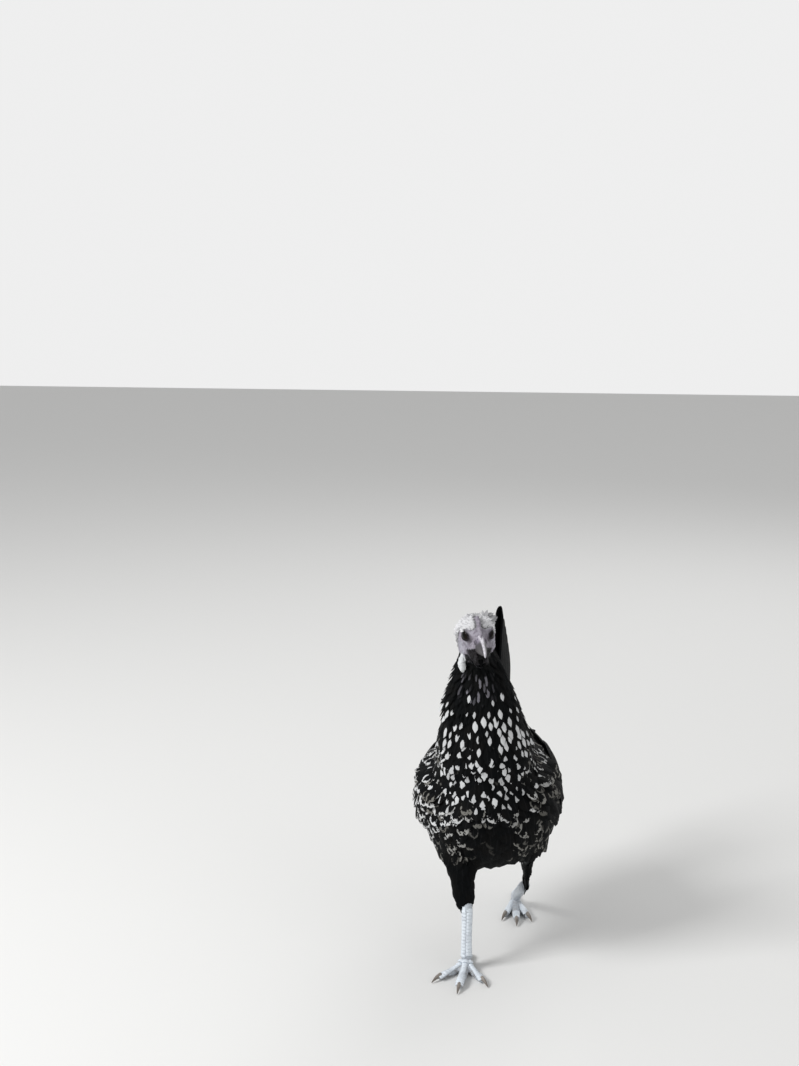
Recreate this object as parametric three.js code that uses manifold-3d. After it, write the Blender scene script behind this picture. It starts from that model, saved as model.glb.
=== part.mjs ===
// A young light-breed hen, life size, walking with her right foot in front.
// Millimetres, +Z up. She faces -Y, so her left side is +X.
// Every sub-part is a closed body of its own; neighbours meet across a thin gap.
import * as THREE from "three";
import { mergeVertices } from "three/addons/utils/BufferGeometryUtils.js";
import Module from "manifold-3d";

const wasm = await Module();
wasm.setup();

// ---------- driving dimensions ----------

const gap = 0.3; // between two bodies that touch
const degrees = Math.PI / 180;

// Lists of sizes run along a body at equal steps, from its first end to its last.
const trunkSize = {
  breastY: -88,
  ventY: 110,
  centreZ: [152, 143, 140, 147, 168],
  half: [56, 67, 65, 60, 44],
  above: [64, 70, 70, 66, 48],
  below: [46, 64, 66, 62, 56],
};

const neckSize = {
  line: [[0, -12, 138], [0, -36, 192], [-1, -50, 236], [-3, -58, 278], [-5, -61, 324]],
  half: [42, 50.5, 37, 29.5, 19],
  back: [50, 56, 36, 26, 20],
  throat: [48, 50, 31, 23, 16],
};

const headSize = {
  place: [-6, -66, 312],
  tipDown: -5 * degrees, // she lifts her beak a little
  turnLeft: 14 * degrees,
  lean: -3 * degrees, // its right side is lower
  nape: 24,
  brow: -34,
  half: [15, 18.6, 16, 10.6, 8.5],
  crown: [17, 20.5, 20.5, 17.5, 11.5],
  jaw: [22, 28, 26.5, 21.5, 14],
};

const eyeSize = { radius: 6.3, out: 7.8, ahead: 13, up: 4.2 };

const beakSize = {
  upper: [[-20, -2], [-36, -2], [-50, -8]], // y, z
  upperHalf: [7, 7, 5.6, 3.6, 1.3],
  upperRise: [8, 7.6, 6, 4.4, 2],
  upperDrop: [3, 3, 2.6, 2.2, 1.4],
  lower: [[-20, -8], [-33, -8], [-45.5, -9.2]],
  lowerHalf: [6, 5.8, 5, 3.6, 2],
  lowerRise: [3.4, 3.4, 3, 2.6, 2],
  lowerDrop: [5, 4.6, 3.8, 2.8, 1.6],
};

const combSize = { line: [[-33, 8], [-24, 13.5], [-10, 18]], half: 2, rise: 2.8, knobs: 4, knob: 2.3 }; // y, z
const earlobeSize = { out: 14, y: -3, z: -22.5, thick: 3.6, wide: 5.4, tall: 7.8 };
const wattleSize = { out: 5.5, y: -25, z: -19.5, thick: 2, wide: 4.6, tall: 6 };

const wingSize = {
  line: [[40, -60, 163], [52, -27, 156], [55, 17, 154], [42, 64, 163], [25, 104, 179]],
  thick: [12, 14, 14, 11, 7],
  above: [26, 32, 30, 24, 14],
  below: [26, 37, 37, 27, 14],
  leanIn: 0.2, // how far its upper edge leans over the back, for each millimetre up
};

const primariesSize = {
  line: [[51, 22, 138], [44, 62, 146], [30, 98, 163], [15, 130, 180]],
  thick: [5, 5, 4.4, 3],
  above: [12, 16, 14, 9],
  below: [12, 16, 13, 8],
};

const tailSize = {
  root: [0, 80, 178],
  steepest: 68 * degrees,
  flattest: 36 * degrees,
  plumes: 5, // on each side
  longest: 128,
  shortest: 106,
  splay: [-0.4, 2.4], // degrees outwards, steepest plume and flattest
  plumeHalf: [4, 3.6, 3, 2.4, 1.4],
  plumeBreadth: [9, 13, 16, 17, 13],
  core: [[0, 38, 160], [0, 78, 178], [0, 124, 220]],
  coreHalf: [30, 28, 21, 14, 8],
  coreDepth: [34, 38, 36, 29, 16],
};

// Each leg: its thigh runs from inside the body to just below the hock, its shank from hock to foot.
const legs = {
  right: {
    thighLine: [[-33, -12, 126], [-20.5, -43, 86], [-12, -62, 48]],
    thighHalf: [26, 24, 13.5, 10.2, 8],
    thighDepth: [36, 34, 24, 14, 9],
    hock: [-12, -60, 62],
    foot: [-12, -66, 0],
    heading: -3 * degrees,
    spread: 36 * degrees,
  },
  left: {
    thighLine: [[37, -10, 122], [38, 5, 88], [35.5, 21, 40]],
    thighHalf: [28, 26, 10.5, 5.4, 5],
    thighDepth: [36, 34, 20, 9, 7],
    hock: [35.5, 20, 47],
    foot: [22, 78, 0],
    heading: 6 * degrees,
    spread: 20 * degrees,
  },
};

const shankHalf = [6.2, 4.9, 4.6, 5, 7];
const shankDepth = [7, 5.8, 5.2, 5.6, 6.6];
const padHeight = 8.5;

const toeSizes = {
  middle: { length: 44, turn: 0, radius: 4.8 },
  inner: { length: 34, turn: 1, radius: 4.4 },
  outer: { length: 36, turn: -1, radius: 4.4 },
  hind: { length: 20, turn: 0, radius: 4, backwards: true },
};
const toeTaper = [1, 0.96, 0.9, 0.84, 0.7];
const toeSink = 0.9; // how far a toe's round underside is flattened against the floor
const clawLength = 8;
const clawTaper = [2.2, 2.1, 1.7, 1.2, 0.7];

// ---------- finishes ----------

const finish = (color, roughness, metalness = 0) => new THREE.MeshStandardMaterial({ color, roughness, metalness });
const finishes = {
  plumage: finish(0x14161a, 0.55),
  breast: finish(0x2a2b2e, 0.6),
  face: finish(0xb9b3bd, 0.6),
  lobe: finish(0xe6e8ea, 0.6),
  beak: finish(0xb7b2ba, 0.4),
  eye: finish(0x120c0a, 0.08),
  scales: finish(0xc8ccd8, 0.45),
  claw: finish(0x8f8a86, 0.4),
};

// ---------- shapes ----------

// A smooth size along a body: t runs from 0 to 1 over the listed values.
function along(values) {
  const steps = values.map((value, i) => new THREE.Vector2(i, value));
  const curve = new THREE.SplineCurve(steps);
  return (t) => curve.getPoint(t).y;
}

// A smooth line through a few points, as a function of t.
function lineThrough(points) {
  const curve = new THREE.CatmullRomCurve3(points.map((p) => new THREE.Vector3(...p)));
  return (t) => curve.getPoint(t);
}

// Keeps only positions, and joins the vertices that share a place.
function bare(geometry) {
  geometry.deleteAttribute("normal");
  geometry.deleteAttribute("uv");
  return mergeVertices(geometry, 1e-4);
}

// A closed body round a line. The rings of a unit sphere are set square to the line, and each ring
// gets its half width and its reach on the two sides that upright points to and away from.
// A low blunt gives nearly flat ends, and 1 gives the ends of an ellipsoid.
function bodyAlong({ line, half, above, below = above, upright = [0, 0, 1], blunt = 1, sides = 16, rings = 12 }) {
  const shape = bare(new THREE.SphereGeometry(1, sides, rings));
  const [halfAt, aboveAt, belowAt] = [half, above, below].map(along);
  const places = shape.attributes.position;
  const point = new THREE.Vector3();
  const step = 1e-3;
  for (let i = 0; i < places.count; i++) {
    point.fromBufferAttribute(places, i);
    const t = (1 - point.y) / 2;
    const fromAxis = Math.hypot(point.x, point.z);
    const fullness = fromAxis > 1e-6 ? fromAxis ** blunt : 0;
    const across = fromAxis > 1e-6 ? point.x / fromAxis : 0;
    const rise = fromAxis > 1e-6 ? point.z / fromAxis : 0;
    const ahead = line(Math.min(1, t + step)).sub(line(Math.max(0, t - step))).normalize();
    const up = new THREE.Vector3(...upright).addScaledVector(ahead, -ahead.dot(new THREE.Vector3(...upright)));
    up.normalize();
    const side = up.clone().cross(ahead);
    const reach = rise > 0 ? aboveAt(t) : belowAt(t);
    const place = line(t)
      .addScaledVector(side, halfAt(t) * fullness * across)
      .addScaledVector(up, reach * fullness * rise);
    places.setXYZ(i, place.x, place.y, place.z);
  }
  return shape;
}

// An ellipsoid at a place.
function bead([x, y, z], [halfX, halfY, halfZ], sides = 12, rings = 8) {
  return bare(new THREE.SphereGeometry(1, sides, rings)).scale(halfX, halfY, halfZ).translate(x, y, z);
}

// The same shape, grown outwards by a distance.
function swollen(shape, by = gap) {
  const grown = shape.clone();
  grown.computeVertexNormals();
  const places = grown.attributes.position;
  const normals = grown.attributes.normal;
  for (let i = 0; i < places.count; i++) {
    places.setXYZ(
      i,
      places.getX(i) + normals.getX(i) * by,
      places.getY(i) + normals.getY(i) * by,
      places.getZ(i) + normals.getZ(i) * by,
    );
  }
  grown.deleteAttribute("normal");
  return grown;
}

function solidOf(shape) {
  const vertProperties = new Float32Array(shape.attributes.position.array);
  const triVerts = new Uint32Array(shape.index.array);
  return new wasm.Manifold(new wasm.Mesh({ numProp: 3, vertProperties, triVerts }));
}

function shapeOf(solid) {
  const mesh = solid.getMesh();
  const shape = new THREE.BufferGeometry();
  shape.setAttribute("position", new THREE.BufferAttribute(new Float32Array(mesh.vertProperties), 3));
  shape.setIndex(new THREE.BufferAttribute(new Uint32Array(mesh.triVerts), 1));
  return shape;
}

// What is left of a shape round its neighbours, less any stray scrap.
function cutBy(shape, ...neighbours) {
  let solid = solidOf(shape);
  for (const neighbour of neighbours) solid = solid.subtract(solidOf(swollen(neighbour)));
  const pieces = solid.decompose().sort((a, b) => b.volume() - a.volume());
  return shapeOf(pieces[0]);
}

function joined(...shapes) {
  return shapeOf(shapes.map(solidOf).reduce((whole, part) => whole.add(part)));
}

// Cuts off what lies below the floor, which leaves a small flat to stand on.
function flattened(shape) {
  const below = bare(new THREE.BoxGeometry(400, 400, 40)).translate(0, 0, -20);
  return shapeOf(solidOf(shape).subtract(solidOf(below)));
}

const bird = new THREE.Group();

function addPart(parent, name, shape, material) {
  shape.computeVertexNormals();
  const part = new THREE.Mesh(shape, material);
  part.name = name;
  parent.add(part);
  return part;
}

// ---------- trunk, neck and head ----------

const trunkShape = bodyAlong({
  line: (t) =>
    new THREE.Vector3(0, THREE.MathUtils.lerp(trunkSize.breastY, trunkSize.ventY, t), along(trunkSize.centreZ)(t)),
  half: trunkSize.half,
  above: trunkSize.above,
  below: trunkSize.below,
  sides: 24,
  rings: 16,
});

const neckShape = bodyAlong({
  line: lineThrough(neckSize.line),
  half: neckSize.half,
  above: neckSize.back,
  below: neckSize.throat,
  upright: [0, 1, 0],
  sides: 18,
  rings: 12,
});

const head = new THREE.Group();
head.position.set(...headSize.place);
head.rotation.set(headSize.tipDown, headSize.lean, headSize.turnLeft, "ZXY");
head.updateMatrix();
bird.add(head);

const skullShape = bodyAlong({
  line: lineThrough([[0, headSize.nape, 0], [0, headSize.brow, -3]]),
  half: headSize.half,
  above: headSize.crown,
  below: headSize.jaw,
  blunt: 0.9,
  sides: 18,
  rings: 12,
});

const upperBeakShape = bodyAlong({
  line: lineThrough(beakSize.upper.map(([y, z]) => [0, y, z])),
  half: beakSize.upperHalf,
  above: beakSize.upperRise,
  below: beakSize.upperDrop,
  blunt: 0.5,
  sides: 12,
  rings: 9,
});
const lowerBeakShape = bodyAlong({
  line: lineThrough(beakSize.lower.map(([y, z]) => [0, y, z])),
  half: beakSize.lowerHalf,
  above: beakSize.lowerRise,
  below: beakSize.lowerDrop,
  blunt: 0.5,
  sides: 10,
  rings: 8,
});

const eyeShape = (side) => bead([side * eyeSize.out, -eyeSize.ahead, eyeSize.up], Array(3).fill(eyeSize.radius), 12, 8);

const combLine = lineThrough(combSize.line.map(([y, z]) => [0, y, z]));
const combKnobs = Array.from({ length: combSize.knobs }, (_, i) => {
  const place = combLine((i + 0.5) / combSize.knobs);
  return bead([0, place.y - 1, place.z + combSize.rise - 1], [combSize.half - 0.4, combSize.knob, combSize.knob], 6, 5);
});
const combShape = joined(
  bodyAlong({
    line: combLine,
    half: Array(4).fill(combSize.half),
    above: Array(4).fill(combSize.rise),
    blunt: 0.5,
    sides: 8,
    rings: 7,
  }),
  ...combKnobs,
);

const sides = { left: 1, right: -1 };

addPart(head, "head", cutBy(skullShape, eyeShape(1), eyeShape(-1), upperBeakShape, lowerBeakShape), finishes.face);
addPart(head, "beak_upper", upperBeakShape, finishes.beak);
addPart(head, "beak_lower", cutBy(lowerBeakShape, upperBeakShape), finishes.beak);
addPart(head, "comb", cutBy(combShape, skullShape, upperBeakShape), finishes.face);

const hangings = [];
for (const [name, side] of Object.entries(sides)) {
  const lobe = bead(
    [side * earlobeSize.out, earlobeSize.y, earlobeSize.z],
    [earlobeSize.thick, earlobeSize.wide, earlobeSize.tall],
  );
  const wattle = bead(
    [side * wattleSize.out, wattleSize.y, wattleSize.z],
    [wattleSize.thick, wattleSize.wide, wattleSize.tall],
    8,
    6,
  );
  hangings.push(lobe, wattle);
  addPart(head, `eye_${name}`, eyeShape(side), finishes.eye);
  addPart(head, `earlobe_${name}`, cutBy(lobe, skullShape), finishes.lobe);
  addPart(head, `wattle_${name}`, cutBy(wattle, skullShape, lowerBeakShape), finishes.face);
}

const inPlace = (shape) => shape.clone().applyMatrix4(head.matrix);
addPart(bird, "neck", cutBy(neckShape, inPlace(skullShape), ...hangings.map(inPlace)), finishes.plumage);

// ---------- wings ----------

const wingShapes = [];
for (const [name, side] of Object.entries(sides)) {
  const mirrored = ([x, y, z]) => [side * x, y, z];
  const upright = [-side * wingSize.leanIn, 0, 1];
  const wingShape = bodyAlong({
    line: lineThrough(wingSize.line.map(mirrored)),
    half: wingSize.thick,
    above: wingSize.above,
    below: wingSize.below,
    upright,
    blunt: 0.8,
    sides: 16,
    rings: 12,
  });
  const primariesShape = bodyAlong({
    line: lineThrough(primariesSize.line.map(mirrored)),
    half: primariesSize.thick,
    above: primariesSize.above,
    below: primariesSize.below,
    upright,
    blunt: 0.6,
    sides: 8,
    rings: 8,
  });
  wingShapes.push(wingShape, primariesShape);
  addPart(bird, `wing_${name}`, cutBy(wingShape, trunkShape, neckShape), finishes.plumage);
  addPart(bird, `primaries_${name}`, cutBy(primariesShape, trunkShape, wingShape), finishes.plumage);
}

// ---------- tail ----------

// Two half fans that meet in a ridge, and the covered stump that carries them.
function tailShape() {
  const { root, plumes, splay } = tailSize;
  const core = bodyAlong({
    line: lineThrough(tailSize.core),
    half: tailSize.coreHalf,
    above: tailSize.coreDepth,
    sides: 12,
    rings: 8,
  });
  const blades = [];
  for (const side of Object.values(sides)) {
    for (let i = 0; i < plumes; i++) {
      const share = i / (plumes - 1);
      const rise = THREE.MathUtils.lerp(tailSize.steepest, tailSize.flattest, share);
      const length = THREE.MathUtils.lerp(tailSize.longest, tailSize.shortest, share);
      const out = side * THREE.MathUtils.lerp(...splay, share) * degrees;
      const way = new THREE.Vector3(Math.sin(out), Math.cos(rise) * Math.cos(out), Math.sin(rise) * Math.cos(out));
      const start = new THREE.Vector3(...root).addScaledVector(way, 8);
      const end = new THREE.Vector3(...root).addScaledVector(way, length);
      start.x += side * 2;
      end.x += side * 1.5;
      blades.push(
        bodyAlong({
          line: (t) => start.clone().lerp(end, t),
          half: tailSize.plumeHalf,
          above: tailSize.plumeBreadth,
          upright: [0, -Math.sin(rise), Math.cos(rise)],
          blunt: 0.55,
          sides: 6,
          rings: 6,
        }),
      );
    }
  }
  return joined(core, ...blades);
}
const tail = tailShape();
addPart(bird, "tail", cutBy(tail, trunkShape, ...wingShapes), finishes.plumage);

// ---------- legs and feet ----------

function clawShape(toe) {
  const tip = toe.length;
  return bodyAlong({
    line: lineThrough([[0, -tip + 3, 3], [0, -tip - clawLength * 0.55, 3.6], [0, -tip - clawLength, 1.3]]),
    half: clawTaper,
    above: clawTaper,
    blunt: 0.4,
    sides: 6,
    rings: 5,
  });
}

function toeShape(toe) {
  const rest = toe.radius - toeSink;
  return flattened(
    bodyAlong({
      line: lineThrough([[0, 0, padHeight], [0, -toe.length * 0.3, rest], [0, -toe.length * 0.7, rest * 0.88], [0, -toe.length, rest * 0.72]]),
      half: toeTaper.map((share) => share * toe.radius),
      above: toeTaper.map((share) => share * toe.radius),
      blunt: 0.35,
      sides: 8,
      rings: 6,
    }),
  );
}

const thighShapes = [];
for (const [name, leg] of Object.entries(legs)) {
  const side = sides[name];
  const [footX, footY] = leg.foot;
  const ankle = [footX, footY, padHeight];
  const shankShape = bodyAlong({
    line: lineThrough([leg.hock, ankle]),
    half: shankHalf,
    above: shankDepth,
    upright: [0, 1, 0.2],
    blunt: 0.3,
    sides: 10,
    rings: 8,
  });
  const thighShape = bodyAlong({
    line: lineThrough(leg.thighLine),
    half: leg.thighHalf,
    above: leg.thighDepth,
    upright: [0, 1, 0],
    blunt: 0.5,
    sides: 12,
    rings: 10,
  });
  thighShapes.push(thighShape);
  addPart(bird, `thigh_${name}`, cutBy(thighShape, trunkShape, ...wingShapes, shankShape), finishes.plumage);
  addPart(bird, `shank_${name}`, flattened(shankShape), finishes.scales);

  const foot = new THREE.Group();
  foot.position.set(footX, footY, 0);
  foot.rotation.z = leg.heading;
  foot.updateMatrix();
  bird.add(foot);
  const toeShapes = {};
  for (const [toeName, toe] of Object.entries(toeSizes)) {
    // The inner toe lies towards the other leg.
    const turn = toe.backwards ? Math.PI : -side * toe.turn * leg.spread;
    const turned = new THREE.Matrix4().makeRotationZ(turn);
    const shank = shankShape.clone().applyMatrix4(foot.matrix.clone().invert());
    const neighbours = Object.values(toeShapes);
    toeShapes[toeName] = toeShape(toe).applyMatrix4(turned);
    addPart(foot, `toe_${toeName}_${name}`, cutBy(toeShapes[toeName], shank, ...neighbours), finishes.scales);
    const claw = clawShape(toe).applyMatrix4(turned);
    addPart(foot, `claw_${toeName}_${name}`, cutBy(claw, toeShapes[toeName]), finishes.claw);
  }
}

addPart(bird, "trunk", cutBy(trunkShape, neckShape), finishes.breast);

// The origin is on the floor, under the middle of the bird's bounding box.
const hen = new THREE.Group();
hen.add(bird);
hen.updateMatrixWorld(true);
const middle = new THREE.Box3().setFromObject(bird, true).getCenter(new THREE.Vector3());
bird.position.set(-middle.x, -middle.y, 0);

export default hen;
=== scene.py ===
import math

import bmesh
import bpy
import numpy as np
from mathutils import Matrix, Vector, noise
from mathutils.bvhtree import BVHTree


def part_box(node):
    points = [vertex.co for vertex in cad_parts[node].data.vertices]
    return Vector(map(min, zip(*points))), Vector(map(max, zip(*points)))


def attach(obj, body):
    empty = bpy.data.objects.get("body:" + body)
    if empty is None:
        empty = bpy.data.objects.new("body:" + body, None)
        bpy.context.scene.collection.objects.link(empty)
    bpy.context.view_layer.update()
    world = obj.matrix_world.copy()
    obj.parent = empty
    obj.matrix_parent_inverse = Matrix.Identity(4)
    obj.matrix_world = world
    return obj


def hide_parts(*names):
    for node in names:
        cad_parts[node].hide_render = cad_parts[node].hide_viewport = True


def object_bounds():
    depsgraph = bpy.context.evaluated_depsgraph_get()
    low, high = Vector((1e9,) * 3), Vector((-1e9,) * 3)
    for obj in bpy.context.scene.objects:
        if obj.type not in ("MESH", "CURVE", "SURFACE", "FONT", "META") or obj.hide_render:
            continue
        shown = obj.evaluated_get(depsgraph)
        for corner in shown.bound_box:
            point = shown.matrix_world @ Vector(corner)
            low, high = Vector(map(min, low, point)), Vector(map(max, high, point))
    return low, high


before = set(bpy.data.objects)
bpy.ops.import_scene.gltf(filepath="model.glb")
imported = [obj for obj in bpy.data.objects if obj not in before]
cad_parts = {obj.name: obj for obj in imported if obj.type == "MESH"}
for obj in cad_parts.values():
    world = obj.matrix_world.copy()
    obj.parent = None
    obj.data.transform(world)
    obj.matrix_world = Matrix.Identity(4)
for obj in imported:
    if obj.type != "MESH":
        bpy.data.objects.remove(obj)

cadLow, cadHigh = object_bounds()
scene = bpy.context.scene
scene.view_settings.view_transform = "Standard"
mm = 0.001
sides = {"left": 1, "right": -1}
toes = ("middle", "inner", "outer", "hind")

cameraSet = {
    "place": (0.1163, -1.3614, 0.6359),
    "heading": 8.5,  # degrees to her left of straight in front
    "down": 10.3,
    "lens": 50.66,
    "nearest": 0.05,
}
lightSet = {
    "world": 0.50,
    "backdrop": 0.86,
    "floor": (0.80, 0.80, 0.79),
    "floorReach": 6,
    "lamps": {
        "key": {"place": (-1.7, -1.1, 1.8), "size": 0.9, "watts": 46},
        "fill": {"place": (1.7, -1.2, 0.9), "size": 1.4, "watts": 4},
        "rim": {"place": (0.5, 1.6, 1.6), "size": 1.2, "watts": 8},
    },
}


def makeCamera():
    camera = bpy.data.objects.new("camera", bpy.data.cameras.new("camera"))
    scene.collection.objects.link(camera)
    camera.location = cameraSet["place"]
    camera.rotation_euler = (math.radians(90 - cameraSet["down"]), 0, math.radians(cameraSet["heading"]))
    camera.data.lens = cameraSet["lens"]
    camera.data.clip_start = cameraSet["nearest"]
    scene.camera = camera


def makeLamp(name, place, size, watts):
    lamp = bpy.data.objects.new(name, bpy.data.lights.new(name, "AREA"))
    scene.collection.objects.link(lamp)
    lamp.data.energy = watts
    lamp.data.size = size
    lamp.location = place
    aim = (cadLow + cadHigh) / 2 - Vector(place)
    lamp.rotation_euler = aim.to_track_quat("-Z", "Y").to_euler()


class Link:
    # One socket of a node tree. An operator on it adds a Math node.
    def __init__(self, tree, socket):
        self.tree, self.socket = tree, socket

    def math(self, operation, *others):
        return self.tree.node("ShaderNodeMath", {"operation": operation}, dict(enumerate((self, *others))))

    # 0 at low and 1 at high, with a soft step between
    def step(self, low, high):
        sockets = {"Value": self, "From Min": low, "From Max": high}
        return self.tree.node("ShaderNodeMapRange", {"interpolation_type": "SMOOTHSTEP"}, sockets)

    # No more than 1
    def most(self):
        return self.math("MINIMUM", 1)

    __add__ = __radd__ = lambda self, other: self.math("ADD", other)
    __mul__ = __rmul__ = lambda self, other: self.math("MULTIPLY", other)
    __sub__ = lambda self, other: self.math("SUBTRACT", other)
    __rsub__ = lambda self, other: self.tree.number(other) - self
    __truediv__ = lambda self, other: self.math("DIVIDE", other)
    __rtruediv__ = lambda self, other: self.tree.number(other) / self
    __pow__ = lambda self, other: self.math("POWER", other)
    __abs__ = lambda self: self.math("ABSOLUTE")


class Tree:
    def __init__(self, tree):
        self.tree = tree

    # Adds a node: first its settings, then its sockets' values or links. Gives one output.
    def node(self, kind, settings=None, sockets=None, out=0):
        made = self.tree.nodes.new(kind)
        for key, value in (settings or {}).items():
            setattr(made, key, value)
        for key, value in (sockets or {}).items():
            socket = self.pick(made.inputs, key)
            if isinstance(value, Link):
                self.tree.links.new(value.socket, socket)
            else:
                socket.default_value = value
        return Link(self, self.pick(made.outputs, out)) if made.outputs else None

    def pick(self, sockets, key):
        if isinstance(key, int):
            return sockets[key]
        return next(s for s in sockets if s.name == key and s.enabled)

    def number(self, value):
        link = self.node("ShaderNodeValue")
        link.socket.default_value = value
        return link

    def mixColor(self, factor, *colors):
        first, second = ((*color, 1) if isinstance(color, tuple) else color for color in colors)
        return self.node("ShaderNodeMix", {"data_type": "RGBA"}, {0: factor, 6: first, 7: second}, 2)

    # Lays colours over a first one, each by its own factor
    def layered(self, color, *layers):
        for factor, tint in layers:
            color = self.mixColor(factor, color, tint)
        return color

    def attribute(self, name, out="Fac"):
        return self.node("ShaderNodeAttribute", {"attribute_name": name}, out=out)

    def part(self, vector, axis):
        return self.node("ShaderNodeSeparateXYZ", None, {0: vector}, "XYZ".index(axis))

    def joined(self, parts):
        return self.node("ShaderNodeCombineXYZ", None, parts)

    def vector(self, operation, a, b=(0, 0, 0), out="Vector"):
        return self.node("ShaderNodeVectorMath", {"operation": operation}, {0: a, 1: b}, out)

    def place(self):
        return self.node("ShaderNodeTexCoord", out="Object")

    def noise(self, scale, detail=2.0, vector=None):
        sockets = {"Vector": vector or self.place(), "Scale": scale, "Detail": detail}
        return self.node("ShaderNodeTexNoise", None, sockets, "Fac")

    def cells(self, feature, scale):
        return self.node("ShaderNodeTexVoronoi", {"feature": feature}, {"Scale": scale}, "Distance")

    # The shader's sockets for a colour, a roughness and a bump
    def surface(self, color, roughness, height, distance, strength):
        sockets = {"Height": height, "Distance": distance, "Strength": strength}
        bump = self.node("ShaderNodeBump", None, sockets)
        return {"Base Color": color, "Roughness": roughness, "Normal": bump}

    def named(self, name, kind="FLOAT_VECTOR"):
        return self.node("GeometryNodeInputNamedAttribute", {"data_type": kind}, {"Name": name}, "Attribute")


# A material with its Principled shader: fixed sockets are set on it, and links feed the rest.
def newMaterial(name, fixed, links=None):
    material = bpy.data.materials.new(name)
    material.use_nodes = True
    material.node_tree.nodes.clear()
    tree = Tree(material.node_tree)
    sockets = {**fixed, **links(tree)} if links else fixed
    shader = tree.node("ShaderNodeBsdfPrincipled", None, sockets)
    tree.node("ShaderNodeOutputMaterial", None, {"Surface": shader})
    return material


# Vanes: rows and columns, the half width at the base, the widest place along and the tip's bluntness,
# the hollow across and the droop along.
vaneSet = {
    "contour": dict(rows=7, columns=4, base=0.30, widest=0.62, blunt=0.5, camber=0.16, droop=0.13),
    "hackle": dict(rows=7, columns=4, base=0.42, widest=0.52, blunt=0.8, camber=0.16, droop=0.06),
    "down": dict(rows=6, columns=2, base=0.45, widest=0.50, blunt=0.95, camber=0.05, droop=0.05),
}
plumageSet = {
    "black": (0.0027, 0.0032, 0.0036),
    "brown": (0.0060, 0.0054, 0.0048),
    "white": (0.64, 0.65, 0.66),
    "crown": (0.78, 0.78, 0.80),
    "grey": (0.36, 0.35, 0.32),
    "lilac": (0.30, 0.29, 0.33),
    "roughness": 0.60,
    "barbs": 46,  # along one feather
    "barbHeight": 0.00012,
    "dropAt": 0.78,  # middle of a drop and of a spot, along the feather
    "spotAt": 0.80,
}


# White marks of one feather, from its own map (across from -1 to 1, along from 0 to 1) and from the
# marks of the place where it grows: drops, round spots and broken lacing.
def featherLinks(tree):
    vane = tree.node("ShaderNodeUVMap", {"uv_map": "vane"})
    across = tree.part(vane, "X") * 2 - 1
    along = tree.part(vane, "Y")
    marks = tree.attribute("marks", "Vector")
    luck = tree.attribute("luck")
    wobble, rough, patch = (tree.noise(scale) for scale in (430, 1100, 240))
    other = (luck * 7.3).math("FRACT")

    a = abs(across + (wobble - 0.5) * 0.35) / (other * 0.32 + 0.34)
    b = (along - plumageSet["dropAt"] + (rough - 0.5) * 0.08) / (other * 0.13 + 0.14)
    drop = (a + b * b).step(1.08, 0.86)

    b = along - plumageSet["spotAt"] + (wobble - 0.5) * 0.16 + abs(across) * (other - 0.5) * 0.6
    b = b / (luck * 0.08 + 0.13)
    a = abs(across + (patch - 0.5) * 0.7) / (b.most() * 0.14 + other * 0.14 + 0.38)
    spot = (a**1.6 + abs(b) ** 1.6 + (rough - 0.5) * 0.5).step(1.1, 0.9)

    # Lacing runs round the edge in a zigzag, and breaks off here and there
    widest = vaneSet["contour"]["widest"]
    over = (along - widest).math("MAXIMUM", 0) / (1 - widest)
    reach = (across * across + over * over) ** 0.5 + (wobble - 0.5) * 0.7
    reach = reach + (across * 5 + luck * 9).math("SINE") * 0.14
    inner = (tree.noise(650, 1) - 0.5) * 0.6 + 0.56
    band = reach.step(inner, inner + 0.07) * reach.step(1.0, 0.92)
    lace = band * along.step(0.50, 0.60) * patch.step(0.38, 0.46)

    chance = [tree.part(marks, axis) for axis in "XYZ"]
    shown = [luck.math("LESS_THAN", c) for c in chance]
    white = (drop * shown[0]).math("MAXIMUM", spot * shown[1])
    faint = lace * shown[2] * (chance[2] * 0.95 + 0.02)
    color = tree.mixColor(tree.noise(90, 1).step(0.4, 0.7) * 0.5, plumageSet["black"], plumageSet["brown"])
    pale = tree.attribute("tone") * (0.72 + luck * 0.5) * along.step(0.05, 0.45)
    color = tree.mixColor(pale.most(), color, plumageSet["crown"])
    # Lace is brighter where there is more of it, so the painted light and shade of her sides show in its
    # colour too
    bright = chance[2].step(0.5, 0.95) * (other * 0.5 + 0.5)
    laceColor = tree.mixColor(bright, plumageSet["grey"], plumageSet["white"])
    color = tree.mixColor(faint.most(), color, laceColor)
    color = tree.mixColor(white * (0.62 + rough * 0.25 + other * 0.3).most(), color, plumageSet["white"])
    shaft = abs(across).step(0.10, 0.04)
    streak = tree.attribute("streak") * luck.step(0.30, 0.75)
    streak = streak * abs(across + (wobble - 0.5) * 0.5).step(0.50, 0.22) * along.step(0.30, 0.50)
    color = tree.mixColor(shaft * 0.012 + streak * 0.6, color, plumageSet["lilac"])
    count = (tree.attribute("fineness") + 1) * plumageSet["barbs"]
    barbs = ((along * count - abs(across) * 7 + wobble * 2) * math.tau).math("SINE")
    roughness = plumageSet["roughness"] + white * 0.25 + (rough - 0.5) * 0.2
    return tree.surface(color, roughness, barbs * 0.5 + shaft * 1.5, plumageSet["barbHeight"], 0.5)


faceSet = {
    "skin": (0.35, 0.33, 0.38),
    "pale": (0.43, 0.435, 0.485),
    "paintedShade": (0.14, 0.115, 0.145),
    "rim": (0.012, 0.009, 0.012),
    "lobe": (0.70, 0.72, 0.73),
    "darkChinAndShade": (0.006, 0.005, 0.006),
    "down": (0.012, 0.013, 0.014),
    "under": (0.40, 0.40, 0.42),
    "pores": 1300,
}


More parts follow.
